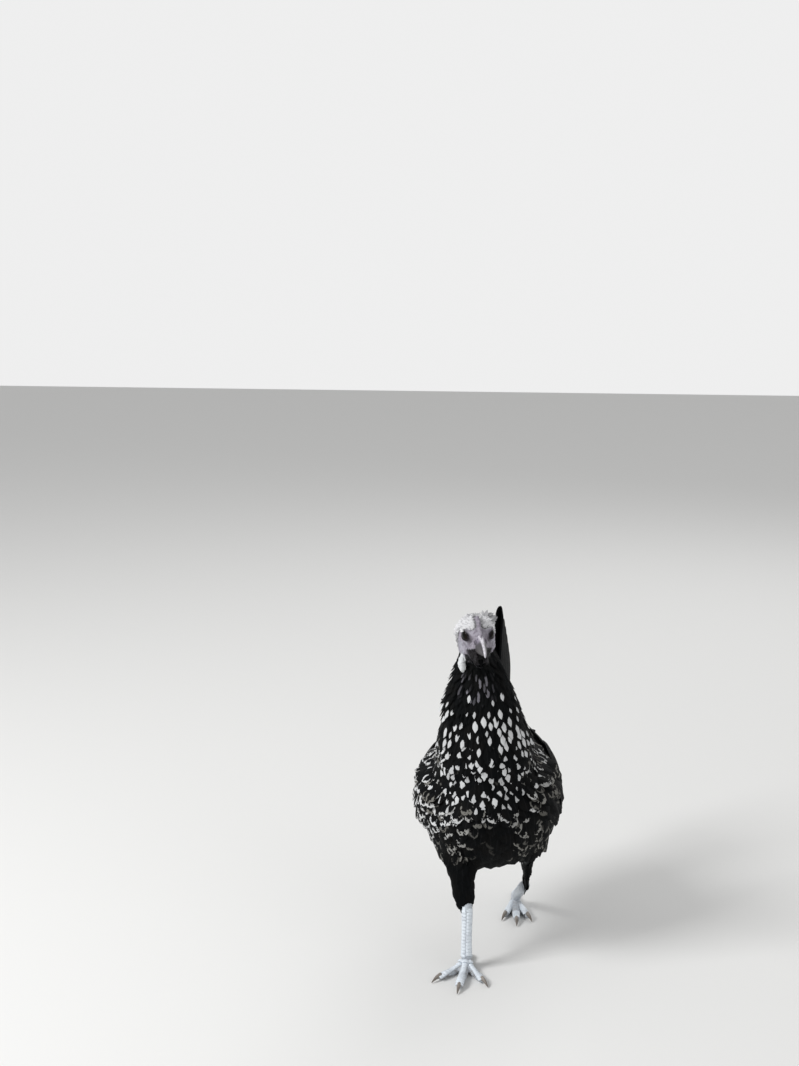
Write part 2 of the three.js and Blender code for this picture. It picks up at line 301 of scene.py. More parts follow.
def faceLinks(tree):
    folds = tree.noise(330, 3)
    color = tree.layered(
        faceSet["skin"],
        (tree.attribute("pale") * tree.noise(120).step(0.3, 0.6), faceSet["pale"]),
        # Painted shade in the fine creases, and through the shade layer in the mouth groove, the lores and
        # the hollows
        (folds.step(0.60, 0.36) * 0.55, faceSet["paintedShade"]),
        (tree.attribute("shade") * 0.75, faceSet["paintedShade"]),
    )
    hidden = tree.mixColor(tree.attribute("tone"), faceSet["down"], faceSet["under"])
    color = tree.mixColor(tree.attribute("bare"), hidden, color)
    # Dark wattles with painted shade under the beak, pale lobes (her left one painted dimmer as painted
    # shade) and dark lids with painted shade round the eyes, each broken up by the folds
    layers = (("wattle", "darkChinAndShade", 0.75, 0.5), ("lobe", "lobe", 0.55, 0.9), ("rim", "rim", 0.6, 0.8))
    for layer, tint, low, high in layers:
        color = tree.mixColor((tree.attribute(layer) * (low + folds * high)).most(), color, faceSet[tint])
    height = tree.cells("F1", faceSet["pores"]) * -0.5 + folds * 1.2
    return tree.surface(color, 0.5 + (folds - 0.5) * 0.3, height, 0.0003, 0.7)


print("helpers ready")


# From 0 at low to 1 at high, and with two more values back to 0 between them
def soft(value, low, high, *end):
    t = np.clip((value - low) / (high - low), 0, 1)
    share = t * t * (3 - 2 * t)
    return share * soft(value, *end[::-1]) if end else share


# A round hump: each term is a value, its middle and its half width
def hump(*terms):
    return np.exp(-sum(((value - centre) / width) ** 2 for value, centre, width in terms))


def unit(vectors):
    return vectors / np.maximum(np.linalg.norm(vectors, axis=-1, keepdims=True), 1e-9)


# The part of each direction that lies flat on the surface
def flattened(ways, normals):
    return unit(ways - normals * np.sum(ways * normals, 1)[:, None])


def rowsOf(source, key, kind=float, width=3):
    flat = np.zeros(len(source) * width, kind)
    source.foreach_get(key, flat)
    return flat.reshape(-1, width)


def coordinates(mesh):
    return rowsOf(mesh.vertices, "co")


def normalsOf(mesh):
    return rowsOf(mesh.vertex_normals, "vector")


# Evens out values over the vertices of a mesh, each with its neighbours.
def evened(mesh, values, times, share=0.5):
    a, b = rowsOf(mesh.edges, "vertices", np.int64, 2).T
    count = np.bincount(np.concatenate((a, b)), minlength=len(mesh.vertices))
    count = np.maximum(count, 1).reshape(-1, *[1] * (values.ndim - 1))
    for _ in range(times):
        total = np.zeros_like(values)
        np.add.at(total, a, values[b])
        np.add.at(total, b, values[a])
        values = values * (1 - share) + total / count * share
    return values


# Evens out a row of values, with its ends kept
def evenedRow(values, times):
    for _ in range(times):
        values[1:-1] = values[1:-1] * 0.5 + (values[:-2] + values[2:]) * 0.25
    return values


def place(mesh, points):
    mesh.vertices.foreach_set("co", points.ravel())
    mesh.update()


# Values are numbers or rows of three, one for each vertex. One alone holds for all.
def setAttribute(mesh, name, values):
    wide = np.shape(values)[-1:] == (3,)
    values = np.broadcast_to(values, (len(mesh.vertices), *[3] * wide))
    layer = mesh.attributes.get(name)
    layer = layer or mesh.attributes.new(name, "FLOAT_VECTOR" if wide else "FLOAT", "POINT")
    layer.data.foreach_set("vector" if wide else "value", np.array(values, np.float32).ravel())


def setAttributes(mesh, **layers):
    for name, values in layers.items():
        setAttribute(mesh, name, values)


def newPiece(name, mesh, material=None):
    piece = bpy.data.objects.new(name, mesh)
    scene.collection.objects.link(piece)
    if material:
        mesh.materials.clear()
        mesh.materials.append(material)
    return piece


def smoothShaded(mesh):
    mesh.shade_smooth()
    return mesh


def newMesh(name, verts, faces):
    mesh = bpy.data.meshes.new(name)
    mesh.from_pydata([tuple(v) for v in verts], [], faces)
    return smoothShaded(mesh)


def evaluatedMesh(holder):
    evaluated = holder.evaluated_get(bpy.context.evaluated_depsgraph_get())
    mesh = bpy.data.meshes.new_from_object(evaluated)
    mesh.name = holder.name
    bpy.data.objects.remove(holder)
    return mesh


# One mesh from several. Welded, its doubles are merged, and turned, its faces point outwards.
def joinedMesh(name, meshes, weld=False, turn=False):
    bm = bmesh.new()
    for mesh in meshes:
        bm.from_mesh(mesh)
    if weld:
        bmesh.ops.remove_doubles(bm, verts=bm.verts, dist=1e-6)
    if turn:
        bmesh.ops.recalc_face_normals(bm, faces=bm.faces)
    mesh = bpy.data.meshes.new(name)
    bm.to_mesh(mesh)
    bm.free()
    return smoothShaded(mesh)


def shellOf(*meshes):
    bm = bmesh.new()
    for mesh in meshes:
        bm.from_mesh(mesh)
    shell = BVHTree.FromBMesh(bm)
    bm.free()
    return shell


def cadMesh(node):
    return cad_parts[node].data


def distances(points, node):
    shell = shellOf(cadMesh(node))
    return np.array([shell.find_nearest(Vector(p))[3] for p in points])


# One closed mesh round copies of several CAD nodes and other shapes, evened out. It also gives the
# points as they were when little evened.
def wrapped(name, nodes, voxel, times, extra=()):
    source = joinedMesh("source", [*(cadMesh(node) for node in nodes), *extra], True)
    holder = newPiece(name, source)
    remesh = holder.modifiers.new("wrap", "REMESH")
    remesh.mode = "VOXEL"
    remesh.voxel_size = voxel
    mesh = evaluatedMesh(holder)
    few = min(times, 3)
    place(mesh, evened(mesh, coordinates(mesh), few))
    kept = coordinates(mesh)
    place(mesh, evened(mesh, kept, times - few))
    return mesh, kept


# A closed mesh from a row of rings, with a point at each end if capped.
def loft(name, rings, cap=True):
    count = len(rings[0])
    verts = [p for ring in rings for p in ring]
    last = len(verts) - count
    faces = []
    for start in range(0, last, count):
        for j in range(count):
            k = (j + 1) % count
            faces.append((start + j, start + k, start + count + k, start + count + j))
    for ring, base in ((rings[0], 0), (rings[-1], last)) if cap else ():
        faces += [(base + j, base + (j + 1) % count, len(verts)) for j in range(count)]
        verts.append(np.mean(ring, axis=0))
    return joinedMesh(name, [newMesh("rings", verts, faces)], True, True)


def circle(count):
    return np.linspace(0, math.tau, count, False)


def between(ends, share):
    return ends[0] + (ends[1] - ends[0]) * share


def middle(node):
    low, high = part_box(node)
    return (low + high) / 2


headSet = {
    "turn": 14,  # degrees to her left
    "lift": 5,  # of the beak
    "lean": -3,  # its right side is lower
    "eye": (7.8, -13.0, 4.2),  # mm: out, back and up
}

eyeMiddle = (middle("eye_left") + middle("eye_right")) / 2
headTurn = (
    Matrix.Rotation(math.radians(headSet["turn"]), 3, "Z")
    @ Matrix.Rotation(math.radians(-headSet["lift"]), 3, "X")
    @ Matrix.Rotation(math.radians(headSet["lean"]), 3, "Y")
)
headPlace = eyeMiddle - headTurn @ Vector((0, *headSet["eye"][1:])) * mm


# The head's own frame is in mm, with its front towards -Y.
def toHead(points):
    return (points - np.array(headPlace)) @ np.array(headTurn) / mm


def fromHead(points):
    return np.asarray(points) * mm @ np.array(headTurn).T + np.array(headPlace)


def inHead(node):
    return toHead(np.array(middle(node)))


skinSet = {
    "voxel": 0.0022,
    "evening": 22,
    "blend": 0.005,  # how softly one part passes into the next
    "depth": {"neck": 2.6, "trunk": 4.6, "wing": 3.6, "thigh": 3.2, "head": 2.0, "hock": 1.3},  # mm of coat
}
headSkinSet = {
    "voxel": 0.00058,
    "evening": 5,
    "opening": (53, 38),  # degrees of the eye's globe, lengthwise and upwards
    "almond": 1.7,
    "slant": 30,
    "gaze": (0.92, -0.38, 0.06),
    "reach": (10.5, 95),  # mm and degrees from the eye's middle that the lids take up
    "lidRadius": 6.7,
    "hiddenRadius": 5.2,
    "ring": (6.40, 0.52),  # mm: the radius and the half thickness of the lids' edge
    "crownCoat": 1.0,
    "narrowing": 0.30,
    "tuck": (-6.2, 2.5, 3.0),  # mm by which the left lobe lies closer to the cheek than the right one
    "lobe": (5.4, 6.2, 8.6),
    "wattle": (3.4, 5.6, 7.0),
}
legSkinSet = {"voxel": 0.0008, "evening": 4}
rumpSet = {
    "path": ((-0.009, -0.005), (0.031, 0.013), (0.070, 0.050)),  # back and up from the tail's low corner
    "wide": (0.027, 0.008),
    "deep": (0.031, 0.016),
}


def fromTail(back, up):
    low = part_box("tail")[0]
    return Vector((0, low.y + back, low.z + up))


# The stump under the tail coverts, which hide it.
def rumpMesh():
    start, bend, end = (fromTail(*offset) for offset in rumpSet["path"])
    rings = []
    for t in np.linspace(0, 1, 21):
        at = start.lerp(bend, t).lerp(bend.lerp(end, t), t)
        ahead = (bend - start).lerp(end - bend, t).normalized()
        up = Vector((1, 0, 0)).cross(ahead)
        close = (1 - (2 * abs(t - 0.5)) ** 6) ** 0.5
        wide, deep = (between(rumpSet[key], t) * close for key in ("wide", "deep"))
        rings.append([at + Vector((math.cos(a) * wide, 0, 0)) + up * math.sin(a) * deep for a in circle(24)])
    return loft("rump", rings)


# The skin under the feathers, and how much each vertex belongs to each part of her.
def bodySkin():
    nodes = ["trunk", "neck", "head", *(f"{part}_{side}" for part in ("wing", "thigh") for side in sides)]
    mesh, kept = wrapped("bodySkin", nodes, skinSet["voxel"], skinSet["evening"], [rumpMesh()])
    points, normals = coordinates(mesh), normalsOf(mesh)
    weights = {node: hump((distances(points, node), 0, skinSet["blend"])) + 1e-6 for node in nodes}
    for part in ("wing", "thigh"):
        weights[part] = weights.pop(f"{part}_left") + weights.pop(f"{part}_right")
    total = sum(weights.values())
    weights = {key: evened(mesh, value / total, 6) for key, value in weights.items()}
    # Evening out would thin the hocks, so there the shape stays nearly as it was
    hock = soft(points[:, 2], 0.092, 0.070) * soft(weights["thigh"], 0.4, 0.9)
    depth = sum(values * skinSet["depth"][key] for key, values in weights.items())
    depth = (depth * (1 - hock) + skinSet["depth"]["hock"] * hock) * mm
    points = points * (1 - hock[:, None]) + kept * hock[:, None]
    place(mesh, evened(mesh, points - evened(mesh, normals, 4) * depth[:, None], 2))
    return smoothShaded(mesh), weights


# How far a feather of this length has to rise so that it rests on the skin ahead of its root.
def risen(mesh, lie, up, length):
    shell = shellOf(mesh)
    points = coordinates(mesh)
    over = length * 1.2
    rise = np.full(len(points), -0.5)
    for share in (0.35, 0.65, 1.0):
        reach = length * share
        for i, (start, way) in enumerate(zip(points + lie * reach + up * over, up)):
            far = shell.ray_cast(Vector(start), Vector(-way), over * 2)[3]
            if far is not None:
                rise[i] = max(rise[i], math.atan2(over - far, reach))
    return evened(mesh, np.clip(rise, -0.35, 0.5), 3)


# Marks show near a feather's tip, this far from its root. Each band of heights comes in and goes out.
describeSet = {
    "reach": 0.015,
    "rise": 0.018,
    "neckFront": (0.206, 0.222, 0.242, 0.262),
    "breast": (0.146, 0.166, 0.208, 0.226),
    "flank": (0.088, 0.104, 0.200, 0.226),
    "throat": (0.250, 0.258, 0.266, 0.276),
    "ruff": (0.225, 0.250, 0.276, 0.292),
}


# Which way the feathers lie, all over the body, and which marks they carry.
def describeBody(mesh, weights):
    points = coordinates(mesh)
    normals = unit(evened(mesh, normalsOf(mesh), 6))
    x, y, z = points.T
    zero, one, sign = np.zeros_like(x), np.ones_like(x), np.sign(x)
    front, rear = soft(y, 0.03, -0.065), soft(y, 0.02, 0.08)
    high, over = soft(z, 0.15, 0.19), soft(z, 0.118, 0.150)
    shoulder = front * over
    flows = {
        "trunk": (-0.25 * sign * rear, 1 - 0.84 * front, -front + 0.45 * rear * high + 0.1 * rear),
        "neck": (x * 5, 0.10 + 0.25 * soft(z, 0.26, 0.19), -one),
        "head": (zero, 0.6 * one, -0.8 * one),
        "wing": (-sign * (0.55 - 0.4 * over), 1 - 0.7 * shoulder, 0.25 - 0.15 * over - 0.9 * shoulder),
        "thigh": (zero, 0.15 * one, -one),
    }
    lie = sum(weights[key][:, None] * unit(np.stack(flow, 1)) for key, flow in flows.items())
    lie = flattened(evened(mesh, lie, 10), normals)
    x, y, z = (points + lie * describeSet["reach"]).T
    facing = soft(normals[:, 1], 0.0, -0.45) * soft(y, -0.01, -0.04)
    outer = soft(np.abs(x), 0.026, 0.050)
    neckFront = facing * soft(z, *describeSet["neckFront"])
    breast = facing * soft(z, *describeSet["breast"]) * (1 - 0.6 * outer)
    flank = soft(z, *describeSet["flank"]) * soft(y, 0.03, -0.03)
    belly = soft(z, 0.152, 0.132) * soft(np.abs(x - 0.007), 0.026, 0.010)
    throat = facing * soft(z, *describeSet["throat"]) * soft(np.abs(x + 0.004), 0.018, 0.009)
    ruff = soft(z, *describeSet["ruff"]) * soft(x, -0.004, -0.020) * soft(y, -0.11, -0.09)
    lace = (0.66 + 0.40 * soft(z, 0.110, 0.160) + 0.20 * outer) * flank
    lace *= (1 - neckFront) * (1 - 0.94 * belly) * (1 - 0.9 * breast * (1 - outer))
    # On her left side (+x) the wing's lace is cut nearly away and the lower flank's lace dimmed, as painted
    # shade; her right upper flank gets more lace, as painted light
    lace *= (1 - 0.85 * weights["thigh"]) * (1 - (0.12 + 0.8 * soft(x, 0.044, 0.054)) * weights["wing"])
    lace *= 1 - 0.30 * soft(x, 0.010, 0.035) * soft(z, 0.165, 0.145)
    lace *= 1 + 0.25 * soft(x, -0.025, -0.045) * soft(z, 0.130, 0.150)
    marks, laced = (np.outer(values, (0, 0, 1)) for values in (0.30 * lace + 0.06 * flank, lace))
    lift = risen(mesh, lie, normals, describeSet["rise"]) + 0.26 * ruff
    hock = weights["thigh"] * soft(points[:, 2], 0.080, 0.058)
    lift = lift * (1 - hock) - 0.05 * hock
    setAttributes(mesh, lie=lie, up=normals, marks=marks, laced=laced, tone=0, streak=throat, lift=lift)
    return {"drops": neckFront, "spangles": breast * (1 - neckFront), "laced": soft(lace, 0.12, 0.35)}


# Where an eye is and looks, and the long and the tall way of its slanting lids.
def eyeAxes(sign):
    centre = np.array(headSet["eye"]) * (sign, 1, 1)
    gaze = unit(np.array(headSkinSet["gaze"]) * (sign, 1, 1))
    slant = math.radians(headSkinSet["slant"])
    back = unit(np.array((0, 1, 0)) - gaze * gaze[1])
    over = np.cross(gaze, back)
    over = unit(over if over[2] > 0 else -over)
    long = unit(back * math.cos(slant) + over * math.sin(slant))
    tall = unit(over * math.cos(slant) - back * math.sin(slant))
    return centre, gaze, long, tall


# Moves the points round an eye to its globe, with lids, and says how far each is on the lids' rim.
def lidded(points, sign):
    centre, gaze, long, tall = eyeAxes(sign)
    away = points - centre
    reach = np.linalg.norm(away, axis=1)
    way = away / reach[:, None]
    spread = np.degrees(np.arccos(np.clip(way @ gaze, -1, 1)))
    heading = unit(np.stack((way @ long, way @ tall), 1))
    opening = np.abs(heading * spread[:, None] / headSkinSet["opening"]) ** headSkinSet["almond"]
    opening = opening.sum(1) ** (1 / headSkinSet["almond"])
    near = (reach < headSkinSet["reach"][0]) & (spread < headSkinSet["reach"][1])
    hold = soft(1.9 - opening, 0, 0.9)
    hood = 0.6 + 0.9 * soft(heading[:, 1], 0, 0.8)
    # Two folds with a groove between them
    lid = np.maximum(reach, headSkinSet["lidRadius"]) + 0.45 * hood * hump((opening, 1.13, 0.12))
    lid += 0.40 * hood * hump((opening, 1.64, 0.14)) - 0.50 * hump((opening, 1.42, 0.10))
    target = np.where(opening < 1, headSkinSet["hiddenRadius"], reach * (1 - hold) + lid * hold)
    # The dark rim reaches further towards the front and the top: dark lid skin, with painted shade round the
    # eye
    wide = 1.28 + 0.40 * soft(heading[:, 0], -0.2, -0.9) + 0.2 * soft(heading[:, 1], 0.3, 1.0)
    away = np.where(near[:, None], way * target[:, None], away)
    return centre + away, near * soft(wide - opening, 0, 0.6)


def unevenness(points, scale):
    return np.array([noise.noise(Vector(p)) for p in points * scale])


# How far points are from a middle, in half sizes
def farFrom(points, centre, sizes):
    return np.linalg.norm((points - centre) / sizes, axis=1)


# Forms of the face: how far each pushes the skin out in mm, its humps (a place, its middle and its half
# width) and the bands in which it comes in and goes out.
faceForms = {
    "brow": (1.3, [("browLine", 11.0, 1.9)], [("out", 4, 8), ("y", -29, -22, -5, 2)]),
    "lore": (-0.9, [("y", -25, 4), ("z", 1.5, 3.4)], [("out", 3, 6)]),
    "hollow": (-0.8, [("y", -15, 8), ("z", -4.6, 1.9)], [("out", 5, 9)]),
    "cheek": (0.9, [("y", -8, 7), ("z", -9.5, 4.5)], [("out", 5, 9)]),
    "mouth": (-0.9, [("mouthLine", -8.0, 0.8)], [("y", -36, -31, -22, -17)]),
    "jowl": (0.7, [("mouthLine", -10.6, 1.5)], [("y", -34, -30, -20, -14)]),
}


# The strength of each form over the face, and how far they push together.
def formed(y, z, out):
    lines = {"y": y, "z": z, "out": out, "browLine": z - 0.30 * (y + 12), "mouthLine": z + 0.30 * (y + 28)}
    strengths, push = {}, 0
    for name, (height, humps, bands) in faceForms.items():
        strengths[name] = hump(*((lines[line], *sizes) for line, *sizes in humps))
        for line, *ends in bands:
            strengths[name] = strengths[name] * soft(lines[line], *ends)
        push = push + height * strengths[name]
    return strengths, push


# The head's skin, with lids round the eyes, a brow, cheeks and fine folds.
def headSkin():
    nodes = ["head", "comb", *(f"{part}_{side}" for part in ("eye", "earlobe", "wattle") for side in sides)]
    mesh = wrapped("headSkin", nodes, headSkinSet["voxel"], headSkinSet["evening"])[0]
    points = toHead(coordinates(mesh))
    normals = normalsOf(mesh) @ np.array(headTurn)
    rim = np.zeros(len(points))
    for sign in sides.values():
        points, lid = lidded(points, sign)
        rim = np.maximum(rim, lid)
    tuck = soft(farFrom(points, inHead("earlobe_left"), (6.5, 8, 11)), 1.25, 0.75)
    points += tuck[:, None] * headSkinSet["tuck"]
    # The face narrows towards the beak, and slopes down to its ridge
    front = soft(points[:, 1], -17, -33)
    points[:, 0] *= 1 - headSkinSet["narrowing"] * front
    points[:, 2] = points[:, 2] * (1 - front) + (-2.5 + (points[:, 2] + 2.5) * 0.62) * front
    x, y, z = points.T
    out = np.abs(x)
    forms, push = formed(y, z, out)
    forehead = 4.4 * hump((x, 0, 4.6)) * soft(y, -6, -12)
    crown = soft(z - 0.20 * (y + 20) - forehead, 7.2, 9.2) * soft(out, 1.4, 2.6)
    behind = soft(y, -8, -3) * soft(z, 8, 12)
    nape = soft(y + 0.25 * z, -3.5, 0.5)
    throat = soft(z + 0.30 * out, -8.6, -10.4) * soft(y, -27, -23)
    feathered = np.maximum.reduce((crown, behind, nape, throat))
    uneven = unevenness(points, 0.45)
    lobe, clear = np.zeros(len(points)), np.zeros(len(points))
    # The lower face under the beak: dark wattles, with painted shade under the beak
    wattle = soft(1.4 * uneven - z - 0.10 * (y + 20), 5.6, 8.0) * soft(y, -12, -17)
    for side in sides:
        left = side == "left"
        at = inHead(f"earlobe_{side}") + np.array(headSkinSet["tuck"]) * left
        far = farFrom(points, at, headSkinSet["lobe"]) + 0.30 * uneven
        # Her left lobe is painted dimmer than the right one, as painted shade on that side
        lobe = np.maximum(lobe, soft(far, 1.12, 0.98) * (0.45 if left else 1))
        clear = np.maximum(clear, soft(far, 1.6, 1.3) * soft(z - at[2], -2, 2))
        far = farFrom(points, inHead(f"wattle_{side}"), headSkinSet["wattle"])
        wattle = np.maximum(wattle, soft(far, 1.1, 0.9))
    feathered = feathered * (1 - lobe) * (1 - clear) * (1 - 0.9 * wattle)
    bare = 1 - feathered
    comb = hump((distances(fromHead(points), "comb"), 0, 0.0009)) * soft(z, 4, 7)
    folds = np.array([noise.fractal(Vector(p), 0.9, 2.2, 3) for p in points * (0.40, 0.40, 0.75)])
    fine = unevenness(points, (0.9, 0.9, 1.5))
    push += bare * (1 - rim) * (1 - 0.4 * lobe) * (folds * 0.48 + fine * 0.26)
    push += comb * (0.45 * np.sin(y * 1.45) + 0.5 * fine)
    push += lobe * (0.9 * uneven - 0.4 * np.abs(fine))
    push -= feathered * headSkinSet["crownCoat"]
    place(mesh, fromHead(points + normals * push[:, None]))
    # Painted shade in the mouth groove, the lores and the hollows, along with the comb's own darker grey
    shade = np.clip(forms["mouth"] + 0.7 * forms["lore"] + 0.6 * forms["hollow"] + 0.25 * comb, 0, 1)
    pale = np.clip(soft(z, 1, -4) * soft(y, -24, -12) + 0.8 * forms["brow"], 0, 1) * (1 - wattle)
    setAttributes(mesh, rim=rim, lobe=lobe * (1 - rim), bare=bare, wattle=wattle, shade=shade, pale=pale)
    return smoothShaded(mesh), feathered


def describeHead(mesh, feathered):
    points = toHead(coordinates(mesh))
    normals = unit(evened(mesh, normalsOf(mesh), 8))
    x, y, z = points.T
    out = np.abs(x)
    # Back over the crown, down the nape and the cheeks, and down under the throat
    below = soft(z, -5, -12)
    down = 0.9 * soft(y, 4, 18) + 0.35 + 0.9 * below
    flow = np.stack((0.25 * np.sign(x) * soft(z, 5, 15), 1 - 0.75 * below, -down), 1)
    lie = flattened(flow @ np.array(headTurn).T, normals)
    mottle = unevenness(points, 0.35)
    crown = soft(z + 0.45 * out, 9.5, 12.5) * soft(6 * mottle - y, -13, -5)
    ear = soft(z, -15, -8, 6, 12) * soft(5 * mottle - y, -11, -5) * 0.5
    tuft = soft(x, 6, 8) * soft(z, 9, 12) * soft(y, -4, 0, 6, 9)
    tone = np.maximum(crown * (1 - 0.5 * soft(out, 3.0, 1.4)), ear) * (1 - 0.55 * tuft)
    rise = np.clip(risen(mesh, lie, normals, 0.0055), -0.3, 0.4)
    lift = rise + crown * (0.10 + 0.12 * soft(y, -12, 4)) + 0.45 * tuft
    size = 0.72 + 0.45 * soft(y, -16, 8) * soft(z, 0, 8) + 0.25 * soft(z, -12, -20) + 0.6 * tuft
    setAttributes(mesh, lie=lie, up=normals, marks=(0, 0, 0), streak=soft(z, -12, -18), tone=tone)
    setAttributes(mesh, lift=lift, size=size, zone_head=soft(feathered, 0.35, 0.6))


def legSkin(side):
    nodes = [f"shank_{side}", *(f"toe_{toe}_{side}" for toe in toes)]
    return smoothShaded(wrapped(f"legSkin_{side}", nodes, legSkinSet["voxel"], legSkinSet["evening"])[0])


featherSet = {
    "sharp": 42,  # degrees; the edges of a vane are crisp
    "thick": 0.028,  # of a vane's length
    "frayed": ((-0.09, 0.05), (-0.03, 0.02)),  # across and along, at random, on its edges
    "columns": (-1, -0.7, -0.38, -0.06, 0, 0.06, 0.38, 0.7, 1),  # of a quill feather
    "narrow": 0.5,
    "shaft": 0.0004,
    "blunt": 0.83,
    "hollow": 0.16,
    "quillThick": 0.0005,
}


# A closed feather from its rows above and below, which meet at the edges, at the base and at the tip.
def featherMesh(name, verts, uvs, top, under, turn):
    tip = len(verts) - 1
    faces = []
    for rows, way in ((top, turn), (under, -turn)):
        for a, b in zip(rows, rows[1:]):
            faces += [(a[i], a[i + 1], b[i + 1], b[i])[::way] for i in range(len(a) - 1)]
        a, b = rows[0], rows[-1]
        for i in range(len(a) - 1):
            faces += [(0, a[i + 1], a[i])[::way], (b[i], b[i + 1], tip)[::way]]
    mesh = newMesh(name, verts, faces)
    layer = mesh.uv_layers.new(name="vane")
    for loop in mesh.loops:
        layer.data[loop.index].uv = uvs[loop.vertex_index]
    mesh.set_sharp_from_angle(angle=math.radians(featherSet["sharp"]))
    return mesh


# How much a blunt tip narrows a feather here
def rounded(t, start, power):
    return (1 - max(0, (t - start) / (1 - start)) ** 2) ** power


# One closed vane of length 1 along Y, facing Z, with its base at the origin.
def vaneMesh(name, shape, seed):
    draw = np.random.default_rng(seed)
    base, widest = shape["base"], shape["widest"]
    verts, uvs, top, under = [(0, 0, 0)], [(0.5, 0)], [], []
    lean = draw.uniform(-0.05, 0.05)
    lengths = 1 - (1 - np.linspace(0, 1, shape["rows"])) ** 1.25
    for t in lengths[1:-1]:
        half = 0.5 * (base + (1 - base) * soft(t, 0, widest)) * rounded(t, widest, shape["blunt"])
        droop = shape["droop"] * t**2.2
        row = []
        for across in np.linspace(-1, 1, shape["columns"] + 1):
            frayed = [draw.uniform(*ends) if abs(across) == 1 else 0 for ends in featherSet["frayed"]]
            row.append(len(verts))
            x = half * across * (1 + frayed[0]) + lean * t * t
            verts.append((x, t + frayed[1], -shape["camber"] * half * across**2 - droop))
            uvs.append((0.5 + half * across, t))
        top.append(row)
        under.append([row[0], len(verts), row[-1]])
        verts.append((lean * t * t, t, -droop - featherSet["thick"]))
        uvs.append((0.5, t))
    verts.append((lean, 1, -shape["droop"]))
    uvs.append((0.5, 1))
    return featherMesh(name, verts, uvs, top, under, 1)


def vaneCollection(kind):
    collection = bpy.data.collections.new(kind)
    for seed in range(4):
        name = f"{kind}_{seed}"
        collection.objects.link(bpy.data.objects.new(name, vaneMesh(name, vaneSet[kind], seed)))
    return collection


# A node group with these inputs and one output. Gives its tree and its inputs, too.
def newGroup(name, kinds, result):
    group = bpy.data.node_groups.new(name, "GeometryNodeTree")
    for title, kind in kinds.items():
        group.interface.new_socket(name=title, in_out="INPUT", socket_type="NodeSocket" + kind)
    group.interface.new_socket(name=result, in_out="OUTPUT", socket_type="NodeSocketGeometry")
    tree = Tree(group)
    return group, tree, {title: tree.node("NodeGroupInput", out=title) for title in kinds}


# Plants instances at points: each turned to the skin and its lie, and then by angles of its own.
def planted(tree, angles, sockets):
    axes = {"Primary Axis": tree.named("up"), "Secondary Axis": tree.named("lie")}
    turn = tree.node("FunctionNodeAxesToRotation", {"primary_axis": "Z", "secondary_axis": "Y"}, axes)
    more = tree.node("FunctionNodeEulerToRotation", None, {0: tree.joined(angles)})
    turns = {"Rotation": turn, "Rotate By": more}
    turn = tree.node("FunctionNodeRotateRotation", {"rotation_space": "LOCAL"}, turns)
    made = tree.node("GeometryNodeInstanceOnPoints", None, {**sockets, "Rotation": turn})
    return tree.node("GeometryNodeRealizeInstances", None, {"Geometry": made})


def finishGroup(tree, result, geometry, material):
    sockets = {"Geometry": geometry, "Material": material}
    tree.node("NodeGroupOutput", None, {result: tree.node("GeometryNodeSetMaterial", None, sockets)})


coatKinds = {
    **{"Skin": "Geometry", "Zone": "String", "Vanes": "Collection", "Seed": "Int", "Material": "Material"},
    **dict.fromkeys(("Spacing", "Length", "Width", "Tilt", "Unrest"), "Float"),
    **dict.fromkeys(("Centre", "Pole", "Seam"), "Vector"),
}
coatTreeSet = {"density": 3.5, "patch": 0.003, "filled": 0.95}


